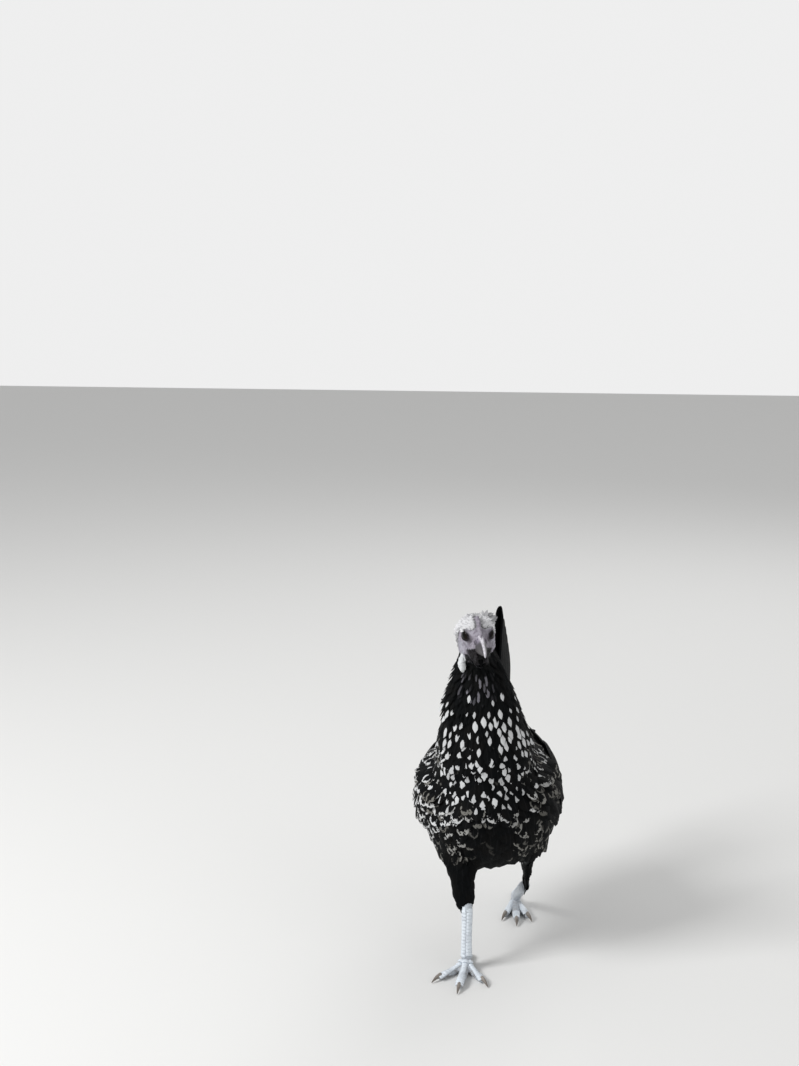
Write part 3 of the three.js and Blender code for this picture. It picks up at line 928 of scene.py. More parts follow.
# Vanes on the skin, along its lie, each with a small patch of its own in the map OFBake.
def coatTree():
    group, tree, given = newGroup("coat", coatKinds, "Coat")

    def chance(low, high, shift, kind="FLOAT"):
        sockets = {"Min": low, "Max": high, "Seed": given["Seed"] + shift}
        return tree.node("FunctionNodeRandomValue", {"data_type": kind}, sockets, "Value")

    def stored(geometry, name, value, kind, domain="POINT"):
        settings = {"data_type": kind, "domain": domain}
        sockets = {"Geometry": geometry, "Name": name, "Value": value}
        return tree.node("GeometryNodeStoreNamedAttribute", settings, sockets)

    spread = {
        "Mesh": given["Skin"],
        "Distance Min": given["Spacing"],
        "Density Max": coatTreeSet["density"] / (given["Spacing"] * given["Spacing"]),
        "Density Factor": tree.named(given["Zone"], "FLOAT"),
        "Seed": given["Seed"],
    }
    method = {"distribute_method": "POISSON"}
    points = tree.node("GeometryNodeDistributePointsOnFaces", method, spread, "Points")
    points = stored(points, "root", tree.node("GeometryNodeInputPosition"), "FLOAT_VECTOR")
    points = stored(points, "luck", chance(0.0, 1.0, 1), "FLOAT")
    unrest = given["Unrest"]
    angles = {
        "X": given["Tilt"] + tree.named("lift", "FLOAT") + chance(-0.25, 0.35, 2) * unrest,
        "Y": chance(-0.6, 0.6, 3) * unrest,
        "Z": chance(-1.0, 1.0, 4) * unrest,
    }
    size = tree.named("size", "FLOAT") * chance(0.86, 1.14, 5)
    wide = given["Width"] * size
    flags = {"Collection": given["Vanes"], "Separate Children": True, "Reset Children": True}
    planting = {
        "Points": points,
        "Instance": tree.node("GeometryNodeCollectionInfo", None, flags),
        "Pick Instance": True,
        "Instance Index": chance(0, 3, 6, "INT"),
        "Scale": tree.joined({"X": wide, "Y": given["Length"] * size, "Z": wide}),
    }
    coat = planted(tree, angles, planting)
    # The map goes round the pole from the seam, and down from the pole
    away = tree.vector("NORMALIZE", tree.vector("SUBTRACT", tree.named("root"), given["Centre"]))
    side = tree.vector("CROSS_PRODUCT", given["Pole"], given["Seam"])
    along, ahead, down = (
        tree.vector("DOT_PRODUCT", away, axis, "Value") for axis in (side, given["Seam"], given["Pole"])
    )
    vane = tree.named("vane")
    u, v = ((tree.part(vane, axis) - 0.5) * coatTreeSet["patch"] for axis in "XY")
    filled = coatTreeSet["filled"]
    bake = {
        "X": along.math("ARCTAN2", ahead) * (filled / math.tau) + 0.5 + u,
        "Y": down.math("ARCCOSINE") * (filled / math.pi) + (1 - filled) / 2 + v,
    }
    coat = stored(coat, "OFBake", tree.joined(bake), "FLOAT2", "CORNER")
    finishGroup(tree, "Coat", coat, given["Material"])
    return group


faceLayers = ("rim", "lobe", "bare", "wattle", "shade", "pale")
spentLayers = {"root", "up", "lie", "size", "lift", "span", "laced", *faceLayers}


# Sets the modifier's inputs, then turns its result into a plain mesh.
def grown(name, group, mesh, values):
    holder = newPiece(name, mesh)
    modifier = holder.modifiers.new(name, "NODES")
    modifier.node_group = group
    for item in group.interface.items_tree:
        if item.in_out == "INPUT" and item.name in values:
            modifier[item.identifier] = values[item.name]
    result = evaluatedMesh(holder)
    for layerName in [layer.name for layer in result.attributes]:
        if layerName in spentLayers or layerName.startswith("zone_"):
            result.attributes.remove(result.attributes[layerName])
    return result


# Feathers of each part of the body: mm apart, their length and width, and their tilt in degrees.
coatSet = {
    "neck": dict(vane="hackle", spacing=3.2, length=20, width=7.6, tilt=7, unrest=0.11),
    "breast": dict(vane="contour", spacing=5.8, length=21, width=11.5, tilt=8, unrest=0.13),
    "belly": dict(vane="contour", spacing=5.4, length=19, width=11.5, tilt=8, unrest=0.16),
    "back": dict(vane="contour", spacing=6.2, length=24, width=12.5, tilt=6, unrest=0.11),
    "rump": dict(vane="hackle", spacing=5.2, length=30, width=10, tilt=7, unrest=0.13),
    "wing": dict(vane="contour", spacing=5.8, length=21, width=12, tilt=6, unrest=0.1),
    "thigh": dict(vane="contour", spacing=3.4, length=14, width=7.5, tilt=6, unrest=0.12),
    "laced": dict(vane="contour", spacing=6.4, length=20, width=13, tilt=10.5, unrest=0.18),
    "drops": dict(vane="hackle", spacing=6.2, length=22, width=8.2, tilt=9.5, unrest=0.12, marks=(1, 0, 0)),
    "spangles": dict(vane="contour", spacing=5.4, length=19, width=10, tilt=11, unrest=0.13, marks=(0, 1, 0)),
    "head": dict(vane="down", spacing=0.88, length=7.6, width=2.0, tilt=5, unrest=0.4),
}


# Where the coats meet. Each one grows from its first value on, and is full at its second value.
zoneSet = {
    "below": (-9, -12),
    "head": (0.46, 0.54),
    "part": (0.42, 0.50),
    "bibTop": (0.216, 0.210),
    "bibBack": (-0.040, -0.055),
    "wingEnd": (0.056, 0.050),
    "hock": (0.078, 0.062),
    "thighFoot": (0.049, 0.053),
    "turned": (-0.72, -0.55),  # how far down the skin may look
    "rumpFront": (0.046, 0.050),
    "rumpFoot": (0.150, 0.156),
    "tailRoot": (0.022, 0.028),
    "backFoot": (0.168, 0.172),
    "backFront": (-0.050, -0.046),
    "bellyTop": (0.126, 0.122),
    "middle": (-0.0005, 0.0005),
    "smallNeck": (0.235, 0.300),
    "smallThigh": (0.085, 0.045),
    "rightFoot": 0.0065,  # the right thigh's coat ends this much higher
}


# How densely the feathers of each coat grow, all over the body.
def describeZones(mesh, weights, marked):
    points = coordinates(mesh)
    x, y, z = points.T

    def past(value, key):
        return soft(value, *zoneSet[key])

    below = past(toHead(points)[:, 2], "below")
    headPart = past(weights["head"] * (1 - below), "head")
    neck = past(weights["neck"] + weights["head"] * below, "part") * (1 - headPart)
    bib = neck * past(z, "bibTop") * past(y, "bibBack")
    neck = neck - bib
    free = 1 - neck - bib
    onThigh, onWing = (past(weights[part], "part") for part in ("thigh", "wing"))
    thigh = onThigh * free
    wing = onWing * free * (1 - thigh) * past(y, "wingEnd")
    # None grow on the hocks, nor where the skin turns down above them
    turned = normalsOf(mesh)[:, 2] - 0.32 * past(z, "hock")
    thigh *= past(z - zoneSet["rightFoot"] * (x < 0), "thighFoot") * past(turned, "turned")
    trunk = free * (1 - onThigh) * (1 - headPart) * (1 - onWing)
    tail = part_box("tail")[0]
    rump = past(y, "rumpFront") * past(z, "rumpFoot")
    behind = past(y - tail.y - 0.6 * (z - tail.z), "tailRoot")
    back = past(z, "backFoot") * past(y, "backFront") * (1 - rump)
    belly = past(z, "bellyTop") * (1 - rump)
    zones = {
        "neck": neck,
        "breast": trunk * (1 - rump) * (1 - back) * (1 - belly) + bib,
        "belly": trunk * belly,
        "back": trunk * back,
        "rump": trunk * rump * (1 - behind),
    }
    for side, sign in sides.items():
        here = past(x * sign, "middle")
        zones[f"wing_{side}"] = wing * here
        zones[f"thigh_{side}"] = thigh * here
    for name, values in marked.items():
        zones[name] = values * np.clip(neck + bib + trunk + (wing if name == "laced" else 0), 0, 1)
    for name, values in zones.items():
        setAttribute(mesh, f"zone_{name}", values)
    setAttribute(mesh, "size", 1 - 0.42 * past(z, "smallNeck") - 0.28 * past(z, "smallThigh") * thigh)


# The centre, the pole and the seam of each coat's map
def coatPlaces():
    trunk = middle("trunk")
    places = {
        "neck": (middle("neck"), (0, 0, 1), (0, 1, 0)),
        "breast": (trunk, (1, 0, 0), (0, 1, 0.4)),
        "belly": (trunk, (1, 0, 0), (0, 0.3, 1)),
        "back": (trunk, (1, 0, 0), (0, 0, -1)),
        "rump": (middle("tail") - Vector((0, 0.01, 0.05)), (0, 0.66, 0.75), (0, -0.75, 0.66)),
        "head": (headPlace, -headTurn.col[1], headTurn.col[2]),
    }
    for side, sign in sides.items():
        places[f"wing_{side}"] = (middle(f"wing_{side}") * 0.75, (0, 0, 1), (-sign, 0, 0))
        places[f"thigh_{side}"] = (middle(f"thigh_{side}"), (0, 0, 1), (0, 1, 0))
    return {**places, "laced": places["breast"], "drops": places["neck"], "spangles": places["breast"]}


def makeCoats(body, head, material, collections):
    group = coatTree()
    pieces = {}
    for seed, (zone, (centre, pole, seam)) in enumerate(coatPlaces().items()):
        sizes = coatSet[zone.split("_")[0]]
        if zone == "laced":
            setAttribute(body, "marks", rowsOf(body.attributes["laced"].data, "vector"))
        elif "marks" in sizes:
            setAttribute(body, "marks", sizes["marks"])
        pole, seam = Vector(pole).normalized(), Vector(seam)
        values = {
            "Zone": f"zone_{zone}",
            "Vanes": collections[sizes["vane"]],
            **{key.capitalize(): sizes[key] * mm for key in ("spacing", "length", "width")},
            "Tilt": math.radians(sizes["tilt"]),
            "Unrest": sizes["unrest"],
            "Seed": 10 + seed * 20,
            "Centre": centre,
            "Pole": pole,
            "Seam": (seam - pole * seam.dot(pole)).normalized(),
            "Material": material,
        }
        mesh = grown(f"coat_{zone}", group, head if zone == "head" else body, values)
        pieces[zone] = newPiece(f"coat_{zone}", mesh)
        mesh.calc_loop_triangles()
        print("coat", zone, len(mesh.loop_triangles))
    return pieces


# A wide feather along a path, with a raised shaft. Its face looks along facing, and it is closed.
def quillMesh(name, path, facing, width, seed):
    draw = np.random.default_rng(seed)
    rows = len(path)
    narrow, shaft, hollow = (featherSet[key] for key in ("narrow", "shaft", "hollow"))
    ahead = unit(np.gradient(path, axis=0))
    steps = np.concatenate(((0,), np.cumsum(np.linalg.norm(np.diff(path, axis=0), axis=1))))
    side = unit(np.cross(ahead, facing))
    up = np.cross(side, ahead)
    verts, uvs, top, under = [path[0]], [(0.5, 0)], [], []
    wobble = np.cumsum(draw.normal(0, 0.02, (rows, 2)), 0) * 0.6
    for i in range(1, rows - 1):
        t = steps[i] / steps[-1]
        half = width / 2 * (narrow + (1 - narrow) * soft(t, -0.05, 0.45))
        half *= rounded(t, featherSet["blunt"], 0.5)
        high, low = [], []
        for across in featherSet["columns"]:
            edge = 1 + (wobble[i, int(across > 0)] if abs(across) == 1 else 0)
            ridge, keel = (shaft * (1 - 0.6 * t), shaft * 0.7) if across == 0 else (0, 0)
            at = path[i] + side[i] * half * across * edge + up[i] * (ridge - hollow * half * across**2)
            high.append(len(verts))
            verts.append(at)
            uvs.append((0.5 + 0.5 * across, t))
            if abs(across) < 1:
                low.append(len(verts))
                verts.append(at - up[i] * (featherSet["quillThick"] + keel + ridge))
                uvs.append((0.5 + 0.5 * across, t))
        top.append(high)
        under.append([high[0], *low, high[-1]])
    verts.append(path[-1])
    uvs.append((0.5, 1))
    return featherMesh(name, verts, uvs, top, under, -1)


# Rows of a quill feather, from 0 to 1 and closer together towards its tip
quillRows = 1 - (1 - np.linspace(0, 1, 17)) ** 1.5


# A path from its start to its end, drawn towards the point between them
def curve(start, bend, end):
    t = quillRows[:, None]
    return (1 - t) ** 2 * start + 2 * t * (1 - t) * bend + t**2 * end


# Joins meshes, and gives each one a patch of its own in the map OFBake, side by side.
def joinedQuills(name, meshes, fineness, material):
    bm = bmesh.new()
    for mesh in meshes:
        bm.from_mesh(mesh)
    vane = bm.loops.layers.uv["vane"]
    bake = bm.loops.layers.uv.new("OFBake")
    columns = math.ceil(math.sqrt(len(meshes)))
    count = len(bm.faces) // len(meshes)
    for i, face in enumerate(bm.faces):
        row, column = divmod(min(i // count, len(meshes) - 1), columns)
        for loop in face.loops:
            u, v = loop[vane].uv
            loop[bake].uv = ((column + 0.05 + 0.9 * u) / columns, (row + 0.05 + 0.9 * v) / columns)
    mesh = bpy.data.meshes.new(name)
    bm.to_mesh(mesh)
    bm.free()
    setAttributes(mesh, marks=(0, 0, 0.1), luck=0.3, fineness=fineness, tone=0)
    return newPiece(name, smoothShaded(mesh), material)


# From the middle pair to the outermost: degrees of rise and mm of length, of distance from the middle
# and of width. The tips come inwards to this share of that distance.
tailQuillSet = {
    "lean": 12,
    "kinds": {
        "tail": dict(count=7, rise=(68, 36), length=(127, 104), out=(0.7, 8.8), width=(26, 30), inwards=0.75),
        "covert": dict(count=7, rise=(64, 26), length=(74, 56), out=(8, 14), width=(17, 17), inwards=0.35),
    },
}


def tailQuills():
    root = np.array(fromTail(*rumpSet["path"][1]))
    lean = math.radians(tailQuillSet["lean"])
    meshes = []
    for side in sides.values():
        for kind, sizes in tailQuillSet["kinds"].items():
            for k in range(sizes["count"]):
                f = k / (sizes["count"] - 1)
                angle = math.radians(between(sizes["rise"], f))
                reach = between(sizes["length"], f) * mm
                x = between(sizes["out"], f) * mm * side
                ahead = np.array((0, math.cos(angle), math.sin(angle)))
                over = np.array((0, -math.sin(angle), math.cos(angle)))
                start = root + (x, 0, 0) + over * (0.004 - 0.010 * f) + ahead * 0.012
                end = root + (x * sizes["inwards"], 0, 0) + ahead * reach
                bend = (start + end) / 2 + over * reach * 0.03 + (x * 0.2, 0, 0)
                path = curve(start, bend, end)
                facing = np.tile((side * math.cos(lean), 0, 0) + over * math.sin(lean), (len(path), 1))
                width = between(sizes["width"], f) * mm
                meshes.append(quillMesh(kind, path, facing, width, 100 + len(meshes)))
    return meshes


# In mm: how far back and up the roots and tips are, from the topmost feather to the lowest, and how
# far the tips lift.
wingQuillSet = {
    "upper": dict(count=10, root=((-24, 169), (-30, 136)), tip=((74, 178), (48, 140)), width=17, lift=1.8),
    "covert": dict(count=9, root=((-16, 170), (-18, 132)), tip=((32, 177), (20, 132)), width=14, lift=1.8),
    "primary": dict(count=6, root=((4, 150), (8, 134)), tip=((106, 178), (78, 158)), width=12, lift=0.8),
}
rootDepth = 1.4  # mm of a wing feather's root under the surface


def wingQuills(side):
    sign = sides[side]
    shell = shellOf(*(cadMesh(f"{node}_{side}") for node in ("wing", "primaries")))
    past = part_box(f"primaries_{side}")[1].y - 0.022

    # Past the shell's end a feather goes straight on.
    def outside(y, z, lift, last):
        hit, normal, _, _ = shell.ray_cast(Vector((sign * 0.2, y, z)), Vector((-sign, 0, 0)))
        if hit is None and last and y > past:
            return np.array((last[0][0] - sign * 0.0004, y, z)), last[1]
        if hit is None:
            hit, normal, _, _ = shell.find_nearest(Vector((sign * 0.06, y, z)))
            if last:
                normal = (normal + Vector(last[1]) * 3).normalized()
        return np.array(hit + normal * lift), np.array(normal)

    meshes = []
    for kind, sizes in wingQuillSet.items():
        for k in range(sizes["count"]):
            f = k / (sizes["count"] - 1)
            root, tip = (between(np.array(sizes[key]), f) * mm for key in ("root", "tip"))
            path, facing, last = [], [], None
            for t in quillRows:
                y, z = root + (tip - root) * t
                z += 0.006 * math.sin(math.pi * t) * (0.5 - f)
                last = outside(y, z, (sizes["lift"] * t - rootDepth * (1 - t)) * mm, last)
                path.append(last[0])
                facing.append(unit(last[1] + (0, 0, 0.16)))
            path, facing = (evenedRow(np.array(values), 4) for values in (path, facing))
            meshes.append(quillMesh(kind, path, unit(facing), sizes["width"] * mm, 300 + len(meshes)))
    return meshes


# Both halves of the beak, in the head's frame: y of each station, its top, bottom and half width in mm.
beakSet = {
    "upper": (
        (-14, 6.2, -5.2, 6.0),
        (-22, 6.2, -5.4, 5.4),
        (-30, 4.8, -5.7, 4.4),
        (-38, 2.2, -6.2, 3.3),
        (-44, -0.8, -7.0, 2.4),
        (-48, -4.4, -8.2, 1.6),
        (-50, -7.4, -9.4, 0.9),
        (-50.6, -9.2, -10.2, 0.3),
    ),
    "lower": (
        (-14, -5.6, -12.4, 5.6),
        (-24, -5.8, -11.8, 4.9),
        (-34, -6.1, -11.0, 4.0),
        (-41, -6.9, -10.4, 2.6),
        (-45.4, -8.2, -9.8, 1.1),
    ),
    "nostril": (-29.0, 0.4),
}
beakColors = {
    "base": (0.017, 0.015, 0.018),
    "tip": (0.040, 0.036, 0.042),
    # A pale ridge with a painted highlight along it
    "ridge": (0.64, 0.62, 0.67),
    "cere": (0.30, 0.27, 0.34),
    "stain": (0.052, 0.046, 0.053),
    "under": (0.035, 0.031, 0.033),
    "pit": (0.010, 0.009, 0.010),
}


# The crest is the ridge above the upper half, or the keel below the lower half.
def beakMesh(name, stations, roundness, upper):
    stations = np.array(stations, float)
    fine = np.linspace(0, 1, 40)
    known = np.linspace(0, 1, len(stations))
    y, top, bottom, half = (evenedRow(np.interp(fine, known, column), 8) for column in stations.T)
    level, crest = (bottom, top) if upper else (top, bottom)
    rings = []
    for i in range(len(fine)):
        ring = []
        for a in circle(36):
            c, s = math.cos(a), math.sin(a)
            crested = s * (1 if upper else -1) > 0
            x = half[i] * np.sign(c) * abs(c) ** (1.05 if crested else 0.4)
            share = abs(s) ** roundness if crested else -0.03 * abs(s)
            ring.append((x, y[i], level[i] + (crest[i] - level[i]) * share))
        rings.append(ring)
    mesh = loft(name, rings)
    points = coordinates(mesh)
    x, ahead, z = points.T
    nostril = beakSet["nostril"]
    # A dent at the nostril, whose dark colour is painted shade in the pit
    pit = soft(np.hypot((ahead - nostril[0]) / 1.9, (z - nostril[1]) / 0.8), 1.25, 0.55) * upper
    points[:, 0] -= np.sign(x) * pit * 1.1
    overRidge, overEdge = (z - np.interp(-ahead, -y, line) for line in (top, bottom))
    # The ridge mask, for a pale ridge with a painted highlight along the culmen
    ridge = np.hypot(x / (1.5 + 1.5 * soft(ahead, -42, -26)), overRidge / 2.4)
    cere = soft(ahead + 1.5 * z, -40, -28) * soft(z, -3.0, 1.0) * upper
    ridge = soft(ridge, 1.2, 0.5) * upper
    edge = soft(overEdge, 2.2, 0.4)
    reach = soft(ahead, -16, -50)
    setAttributes(mesh, nostril=pit, reach=reach, ridge=ridge, cere=cere, edge=edge, under=not upper)
    place(mesh, fromHead(points))
    return mesh


def beakLinks(tree):
    reach = tree.attribute("reach")
    grain = tree.noise(380, 3)
    fibres = tree.noise(900, 2, tree.vector("MULTIPLY", tree.place(), (1.0, 0.25, 1.0)))
    side = tree.mixColor(reach.step(0.3, 0.9), beakColors["base"], beakColors["tip"])
    color = tree.layered(
        side,
        (tree.attribute("cere") * grain.step(0.2, 0.5), beakColors["cere"]),
        # Painted highlight along the pale ridge
        (tree.attribute("ridge"), beakColors["ridge"]),
        (tree.attribute("edge") * reach.step(0.85, 0.5) * 0.8, beakColors["under"]),
        (grain.step(0.42, 0.7) * 0.35, beakColors["stain"]),
        (tree.attribute("under"), beakColors["under"]),
        # Painted shade in the nostril pit
        (tree.attribute("nostril") * 0.9, beakColors["pit"]),
    )
    return tree.surface(color, 0.34 + (grain - 0.5) * 0.25, grain * 0.6 + fibres * 0.5, 0.0002, 0.6)


# The iris and the pupil end at these degrees from the middle, and the cornea rises over them, in mm.
eyeballSet = {
    "radius": 6.05,
    "iris": 43,
    "pupil": 25,
    "cornea": 0.30,
    "dark": (0.004, 0.0025, 0.002),
    "light": (0.010, 0.006, 0.004),
    "hole": (0.002, 0.002, 0.002),
    "edge": (0.012, 0.010, 0.010),
}


def eyeMesh(side):
    radius, iris = eyeballSet["radius"], eyeballSet["iris"]
    bm = bmesh.new()
    bmesh.ops.create_uvsphere(bm, u_segments=48, v_segments=32, radius=radius)
    mesh = bpy.data.meshes.new(f"eyeball_{side}")
    bm.to_mesh(mesh)
    bm.free()
    centre, gaze, _, _ = eyeAxes(sides[side])
    turn = np.array(Vector(gaze).to_track_quat("Z", "Y").to_matrix())
    points = coordinates(mesh)
    angle = np.degrees(np.arccos(np.clip(points[:, 2] / radius, -1, 1)))
    points = unit(points) * (radius + soft(angle, iris + 6, 0) * eyeballSet["cornea"])[:, None]
    setAttribute(mesh, "gazeAngle", angle)
    place(mesh, fromHead(points @ turn.T + centre))
    return smoothShaded(mesh)


def eyeLinks(tree):
    angle = tree.attribute("gazeAngle")
    pupil, iris = eyeballSet["pupil"], eyeballSet["iris"]
    color = tree.layered(
        eyeballSet["dark"],
        (tree.noise(1500, 3).step(0.35, 0.7), eyeballSet["light"]),
        (angle.step(pupil + 1.5, pupil - 1.5), eyeballSet["hole"]),
        (angle.step(iris - 3, iris + 2), eyeballSet["edge"]),
    )
    return {"Base Color": color}


# The thin edge of both lids, as a ring round the opening.
def lidRing(side):
    centre, gaze, long, tall = eyeAxes(sides[side])
    radius, thick = headSkinSet["ring"]
    wide, high = (math.radians(v) for v in headSkinSet["opening"])
    power = 2 / headSkinSet["almond"]
    rings = []
    for a in circle(48):
        u, v = (math.copysign(abs(part) ** power, part) for part in (math.cos(a), math.sin(a)))
        outward = long * u * wide + tall * v * high
        spread = math.hypot(u * wide, v * high)
        way = gaze * math.cos(spread) + outward / spread * math.sin(spread)
        across = unit(outward)
        at = centre + way * radius
        rings.append([at + (way * math.cos(b) + across * math.sin(b)) * thick for b in circle(8)])
    mesh = loft(f"lid_{side}", [*rings, rings[0]], cap=False)
    place(mesh, fromHead(coordinates(mesh)))
    setAttribute(mesh, "rim", 1)
    return mesh


legSet = {
    "scute": 3.1,  # mm from plate to plate
    "thickest": 8.5,  # a leg's radius that still carries plates
    "sunk": 0.12,
    "tilt": 5,  # degrees of a plate
    "column": 38,  # degrees from the front of the shank
    "clawRoot": 2.2,
    "clawLength": 11.5,
}


# A node's long axis: its middle, its direction away from a point and half its length.
def axisOf(node, away=None):
    points = np.unique(coordinates(cadMesh(node)).round(6), axis=0)
    centre = points.mean(0)
    ahead = np.linalg.svd(points - centre, full_matrices=False)[2][0]
    if away is not None and (centre - away) @ ahead < 0:
        ahead = -ahead
    along = (points - centre) @ ahead
    return centre + ahead * (along.min() + along.max()) / 2, ahead, (along.max() - along.min()) / 2


# One closed plate of length and width 1, which curves down to its sides.
def scutePlate():
    rows, columns, thick = 4, 5, 0.16
    verts, faces = [], []
    for level in (0, thick):
        for y in np.linspace(0, 1, rows):
            edge = 1 - 0.12 * (2 * abs(y - 0.5)) ** 3
            for x in np.linspace(-0.5, 0.5, columns):
                verts.append((x * edge, y, 0.02 * math.sin(math.pi * y) - 0.72 * x * x - level))
    size = rows * columns
    for i in range(rows - 1):
        for a in range(i * columns, (i + 1) * columns - 1):
            quad = (a, a + 1, a + columns + 1, a + columns)
            faces += [quad, tuple(v + size for v in quad[::-1])]
    rim = [*range(columns), *range(2 * columns - 1, size, columns), *range(size - 2, size - columns - 1, -1)]
    rim += range(size - 2 * columns, 0, -columns)
    faces += [(b, a, a + size, b + size) for a, b in zip(rim, rim[1:] + rim[:1])]
    return newMesh("scute", verts, faces)


def seatTree():
    kinds = {"Seats": "Geometry", "Plate": "Object", "Tilt": "Float", "Material": "Material"}
    group, tree, given = newGroup("plates", kinds, "Plates")
    plate = tree.node("GeometryNodeObjectInfo", None, {"Object": given["Plate"]}, "Geometry")
    planting = {"Points": given["Seats"], "Instance": plate, "Scale": tree.named("span")}
    plates = planted(tree, {"X": given["Tilt"]}, planting)
    finishGroup(tree, "Plates", plates, given["Material"])
    return group


# Seats of the plates: two columns down the front of each shank, and one along the top of each toe.
# Each seat is a place, the way up, the way along and the plate's spans.
def legSeats(side, skin):
    shell = shellOf(skin)
    gap = legSet["scute"] * mm
    seats = []

    def seat(at, way, ahead, share, high):
        hit = shell.ray_cast(Vector(at + way * 0.03), Vector(-way))[0]
        if hit is None:
            return
        radius = (np.array(hit) - at) @ way
        if radius <= legSet["thickest"] * mm:
            span = (radius * share, gap * 1.25, radius * share * 0.95)
            seats.append((np.array(hit) + way * (high - legSet["sunk"]) * mm, way, ahead, span))

    shank, down, half = axisOf(f"shank_{side}")
    down = down if down[2] < 0 else -down
    front = axisOf(f"toe_middle_{side}", shank)[1] * (1, 1, 0)
    front = unit(front - down * (front @ down))
    beside = np.cross(front, down)
    for i in range(int(2 * half / gap)):
        for column in (-1, 1):
            along = -half + (i + 0.3 + 0.25 * column) * gap
            if along < half - 0.006:
                turn = math.radians(legSet["column"]) * column
                way = front * math.cos(turn) + beside * math.sin(turn)
                seat(shank + down * along, way, down, 1.22, 0.42)
    for toe in toes:
        centre, ahead, half = axisOf(f"toe_{toe}_{side}", shank)
        way = unit(np.array((0, 0, 1)) - ahead * ahead[2])
        for i in range(int(2 * half / gap)):
            along = -half + 0.001 + i * gap
            if along < half - 0.003:
                seat(centre + ahead * along, way, ahead, 1.75, 0.3)
    return seats


def scutes(seats, material):
    places, up, lie, span = (np.array(column) for column in zip(*seats))
    mesh = bpy.data.meshes.new("scuteSeats")
    mesh.from_pydata(places.tolist(), [], [])
    setAttributes(mesh, up=up, lie=lie, span=span)
    plate = bpy.data.objects.new("scute", scutePlate())
    values = {"Plate": plate, "Tilt": math.radians(legSet["tilt"]), "Material": material}
    return newPiece("scutes", grown("scutes", seatTree(), mesh, values))


def clawMesh(toe, side):
    shank = axisOf(f"shank_{side}")[0]
    centre, ahead, half = axisOf(f"claw_{toe}_{side}", axisOf(f"toe_{toe}_{side}", shank)[0])
    ahead = unit(ahead * (1, 1, 0))
    up = np.array((0, 0, 1))
    beside = np.cross(ahead, up)
    length = legSet["clawLength"] * mm
    end = centre + ahead * half
    rings = []
    for t in np.linspace(0, 1, 16):
        at = end - ahead * length * (1 - t)
        at[2] = (4.6 - 0.6 * t - 3.2 * t**2.4) * mm
        radius = (legSet["clawRoot"] * (1 - t**1.5) ** 0.8 + 0.12) * mm
        rings.append([at + (beside * math.cos(a) * 0.8 + up * math.sin(a)) * radius for a in circle(16)])
    mesh = loft(f"claw_{toe}_{side}", rings)
    setAttribute(mesh, "reach", soft((coordinates(mesh) - end) @ ahead, -length, 0))
    return mesh


clawColors = {"root": (0.30, 0.27, 0.24), "tip": (0.12, 0.10, 0.085), "stain": (0.07, 0.055, 0.045)}
legColors = {"scale": (0.74, 0.80, 0.86), "gap": (0.42, 0.44, 0.49), "soil": (0.24, 0.19, 0.14)}


def clawLinks(tree):
    grain = tree.noise(600, 3)
    color = tree.mixColor(tree.attribute("reach"), clawColors["root"], clawColors["tip"])
    color = tree.mixColor(grain.step(0.45, 0.7) * 0.4, color, clawColors["stain"])
    return tree.surface(color, 0.4 + (grain - 0.5) * 0.3, grain, 0.0002, 0.6)


def legLinks(tree):
    cells = tree.cells("DISTANCE_TO_EDGE", 520)
    blotch = tree.noise(140, 3)
    low = tree.part(tree.place(), "Z").step(0.012, 0.001)
    color = tree.layered(
        legColors["scale"],
        (blotch.step(0.35, 0.75) * 0.5, legColors["gap"]),
        (cells.step(0.10, 0.02) * 0.55, legColors["gap"]),
        (low * tree.noise(260, 3).step(0.42, 0.62) * 0.6, legColors["soil"]),
    )
    relief = cells.step(0.0, 0.22) + blotch * 0.3
    return tree.surface(color, 0.42 + (blotch - 0.5) * 0.3, relief, 0.0003, 0.8)


def plateLinks(tree):
    blotch = tree.noise(220, 3)
    color = tree.mixColor(blotch.step(0.4, 0.75) * 0.4, legColors["scale"], legColors["gap"])
    return tree.surface(color, 0.36 + (blotch - 0.5) * 0.3, blotch, 0.0002, 0.5)


# One mesh from several, each with the number of its material, keeping the face's attributes.
def joinedSkin(name, parts, materials):
    points, faces, slots = [], [], []
    values = {layer: [] for layer in (*faceLayers, "tone")}
    start = 0
    for mesh, slot in parts:
        points.append(coordinates(mesh))
        faces += [tuple(v + start for v in polygon.vertices) for polygon in mesh.polygons]
        slots += [slot] * len(mesh.polygons)
        for layer, columns in values.items():
            found = mesh.attributes.get(layer)
            columns.append(rowsOf(found.data, "value", width=1) if found else np.zeros((len(points[-1]), 1)))
        start += len(points[-1])
    mesh = newMesh(name, np.concatenate(points), faces)
    for material in materials:
        mesh.materials.append(material)
    mesh.polygons.foreach_set("material_index", slots)
    for layer, columns in values.items():
        setAttribute(mesh, layer, np.concatenate(columns)[:, 0])
    return mesh


def makeWorld():
    world = bpy.data.worlds.new("room")
    scene.world = world
    world.use_nodes = True
    world.node_tree.nodes.clear()
    tree = Tree(world.node_tree)
    rays = ("Is Camera Ray", "Is Glossy Ray", "Is Transmission Ray")
    camera, glossy, through = (tree.node("ShaderNodeLightPath", out=name) for name in rays)
    seen = (camera + glossy + through).most()
    strength = seen * (lightSet["backdrop"] - lightSet["world"]) + lightSet["world"]
    shade = tree.node("ShaderNodeBackground", None, {"Color": (1, 1, 1, 1), "Strength": strength})
    tree.node("ShaderNodeOutputWorld", None, {"Surface": shade})


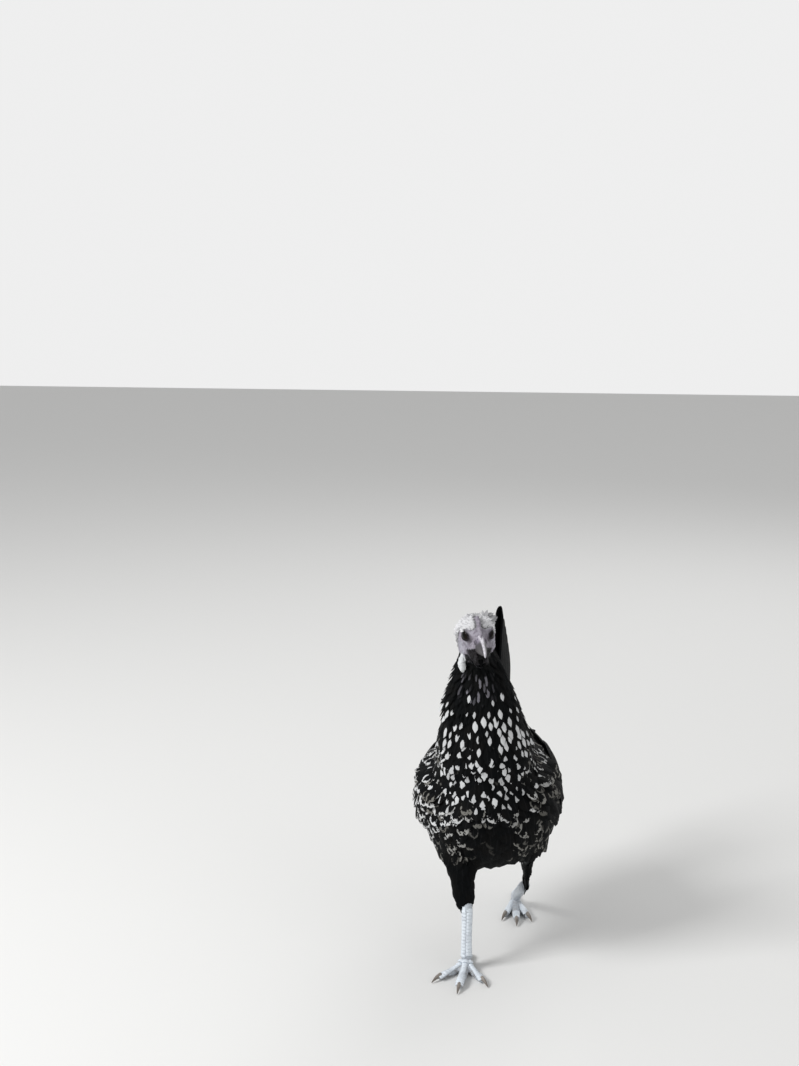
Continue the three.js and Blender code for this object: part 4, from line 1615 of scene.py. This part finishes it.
reach = lightSet["floorReach"]
corners = ((-reach, -reach, 0), (reach, -reach, 0), (reach, reach, 0), (-reach, reach, 0))
floorMaterial = newMaterial("floor", {"Roughness": 0.8, "Base Color": (*lightSet["floor"], 1)})
floor = newPiece("floor", newMesh("floor", corners, [(0, 1, 2, 3)]), floorMaterial)
makeCamera()
makeWorld()
for lampName, lamp in lightSet["lamps"].items():
    makeLamp(lampName, **lamp)

bodyMesh, bodyWeights = bodySkin()
describeZones(bodyMesh, bodyWeights, describeBody(bodyMesh, bodyWeights))
print("body skin", len(bodyMesh.vertices))
headMesh, headFeathered = headSkin()
describeHead(headMesh, headFeathered)
print("head skin", len(headMesh.vertices))

plumage = newMaterial("plumage", {"Specular IOR Level": 0.04}, featherLinks)
faceMaterial = newMaterial("faceSkin", {"Specular IOR Level": 0.14}, faceLinks)
legMaterial = newMaterial("legSkin", {}, legLinks)
plateMaterial = newMaterial("legPlates", {}, plateLinks)
beakMaterial = newMaterial("beakHorn", {"Specular IOR Level": 0.25}, beakLinks)
clawMaterial = newMaterial("clawHorn", {}, clawLinks)
eyeMaterial = newMaterial("eyeball", {"Roughness": 0.05, "IOR": 1.18}, eyeLinks)

coats = makeCoats(bodyMesh, headMesh, plumage, {kind: vaneCollection(kind) for kind in vaneSet})
print("coats ready")

legMeshes = {side: legSkin(side) for side in sides}
skinParts = [(mesh, 0) for mesh in (bodyMesh, headMesh, *map(lidRing, sides))]
skinParts += [(mesh, 1) for mesh in legMeshes.values()]
skin = newPiece("skin", joinedSkin("skin", skinParts, [faceMaterial, legMaterial]))
print("skin", len(skin.data.vertices))

plates = scutes([seat for side in sides for seat in legSeats(side, legMeshes[side])], plateMaterial)
clawMeshes = [clawMesh(toe, side) for toe in toes for side in sides]
claws = newPiece("claws", joinedMesh("claws", clawMeshes), clawMaterial)
beak = {
    "upper": newPiece("beak_top", beakMesh("beak_top", beakSet["upper"], 0.85, True), beakMaterial),
    "lower": newPiece("beak_under", beakMesh("beak_under", beakSet["lower"], 0.8, False), beakMaterial),
}
eyes = {side: newPiece(f"eyeball_{side}", eyeMesh(side), eyeMaterial) for side in sides}
tail = joinedQuills("tail_quills", tailQuills(), 5, plumage)
wings = {side: joinedQuills(f"wing_quills_{side}", wingQuills(side), 3, plumage) for side in sides}
print("pieces ready")

flesh = ["trunk", "neck", "head", "comb"]
for side in sides:
    flesh += [f"{part}_{side}" for part in ("wing", "thigh", "earlobe", "wattle", "shank")]
    flesh += [f"toe_{toe}_{side}" for toe in toes]
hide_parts(*flesh)
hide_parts("tail")
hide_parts(*(f"claw_{toe}_{side}" for toe in toes for side in sides))
for part, piece in beak.items():
    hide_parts(f"beak_{part}")
for side in sides:
    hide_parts(f"eye_{side}")
    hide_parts(f"primaries_{side}")
for piece in (skin, plates, claws, tail, *beak.values(), *eyes.values(), *wings.values(), *coats.values()):
    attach(piece, "root")
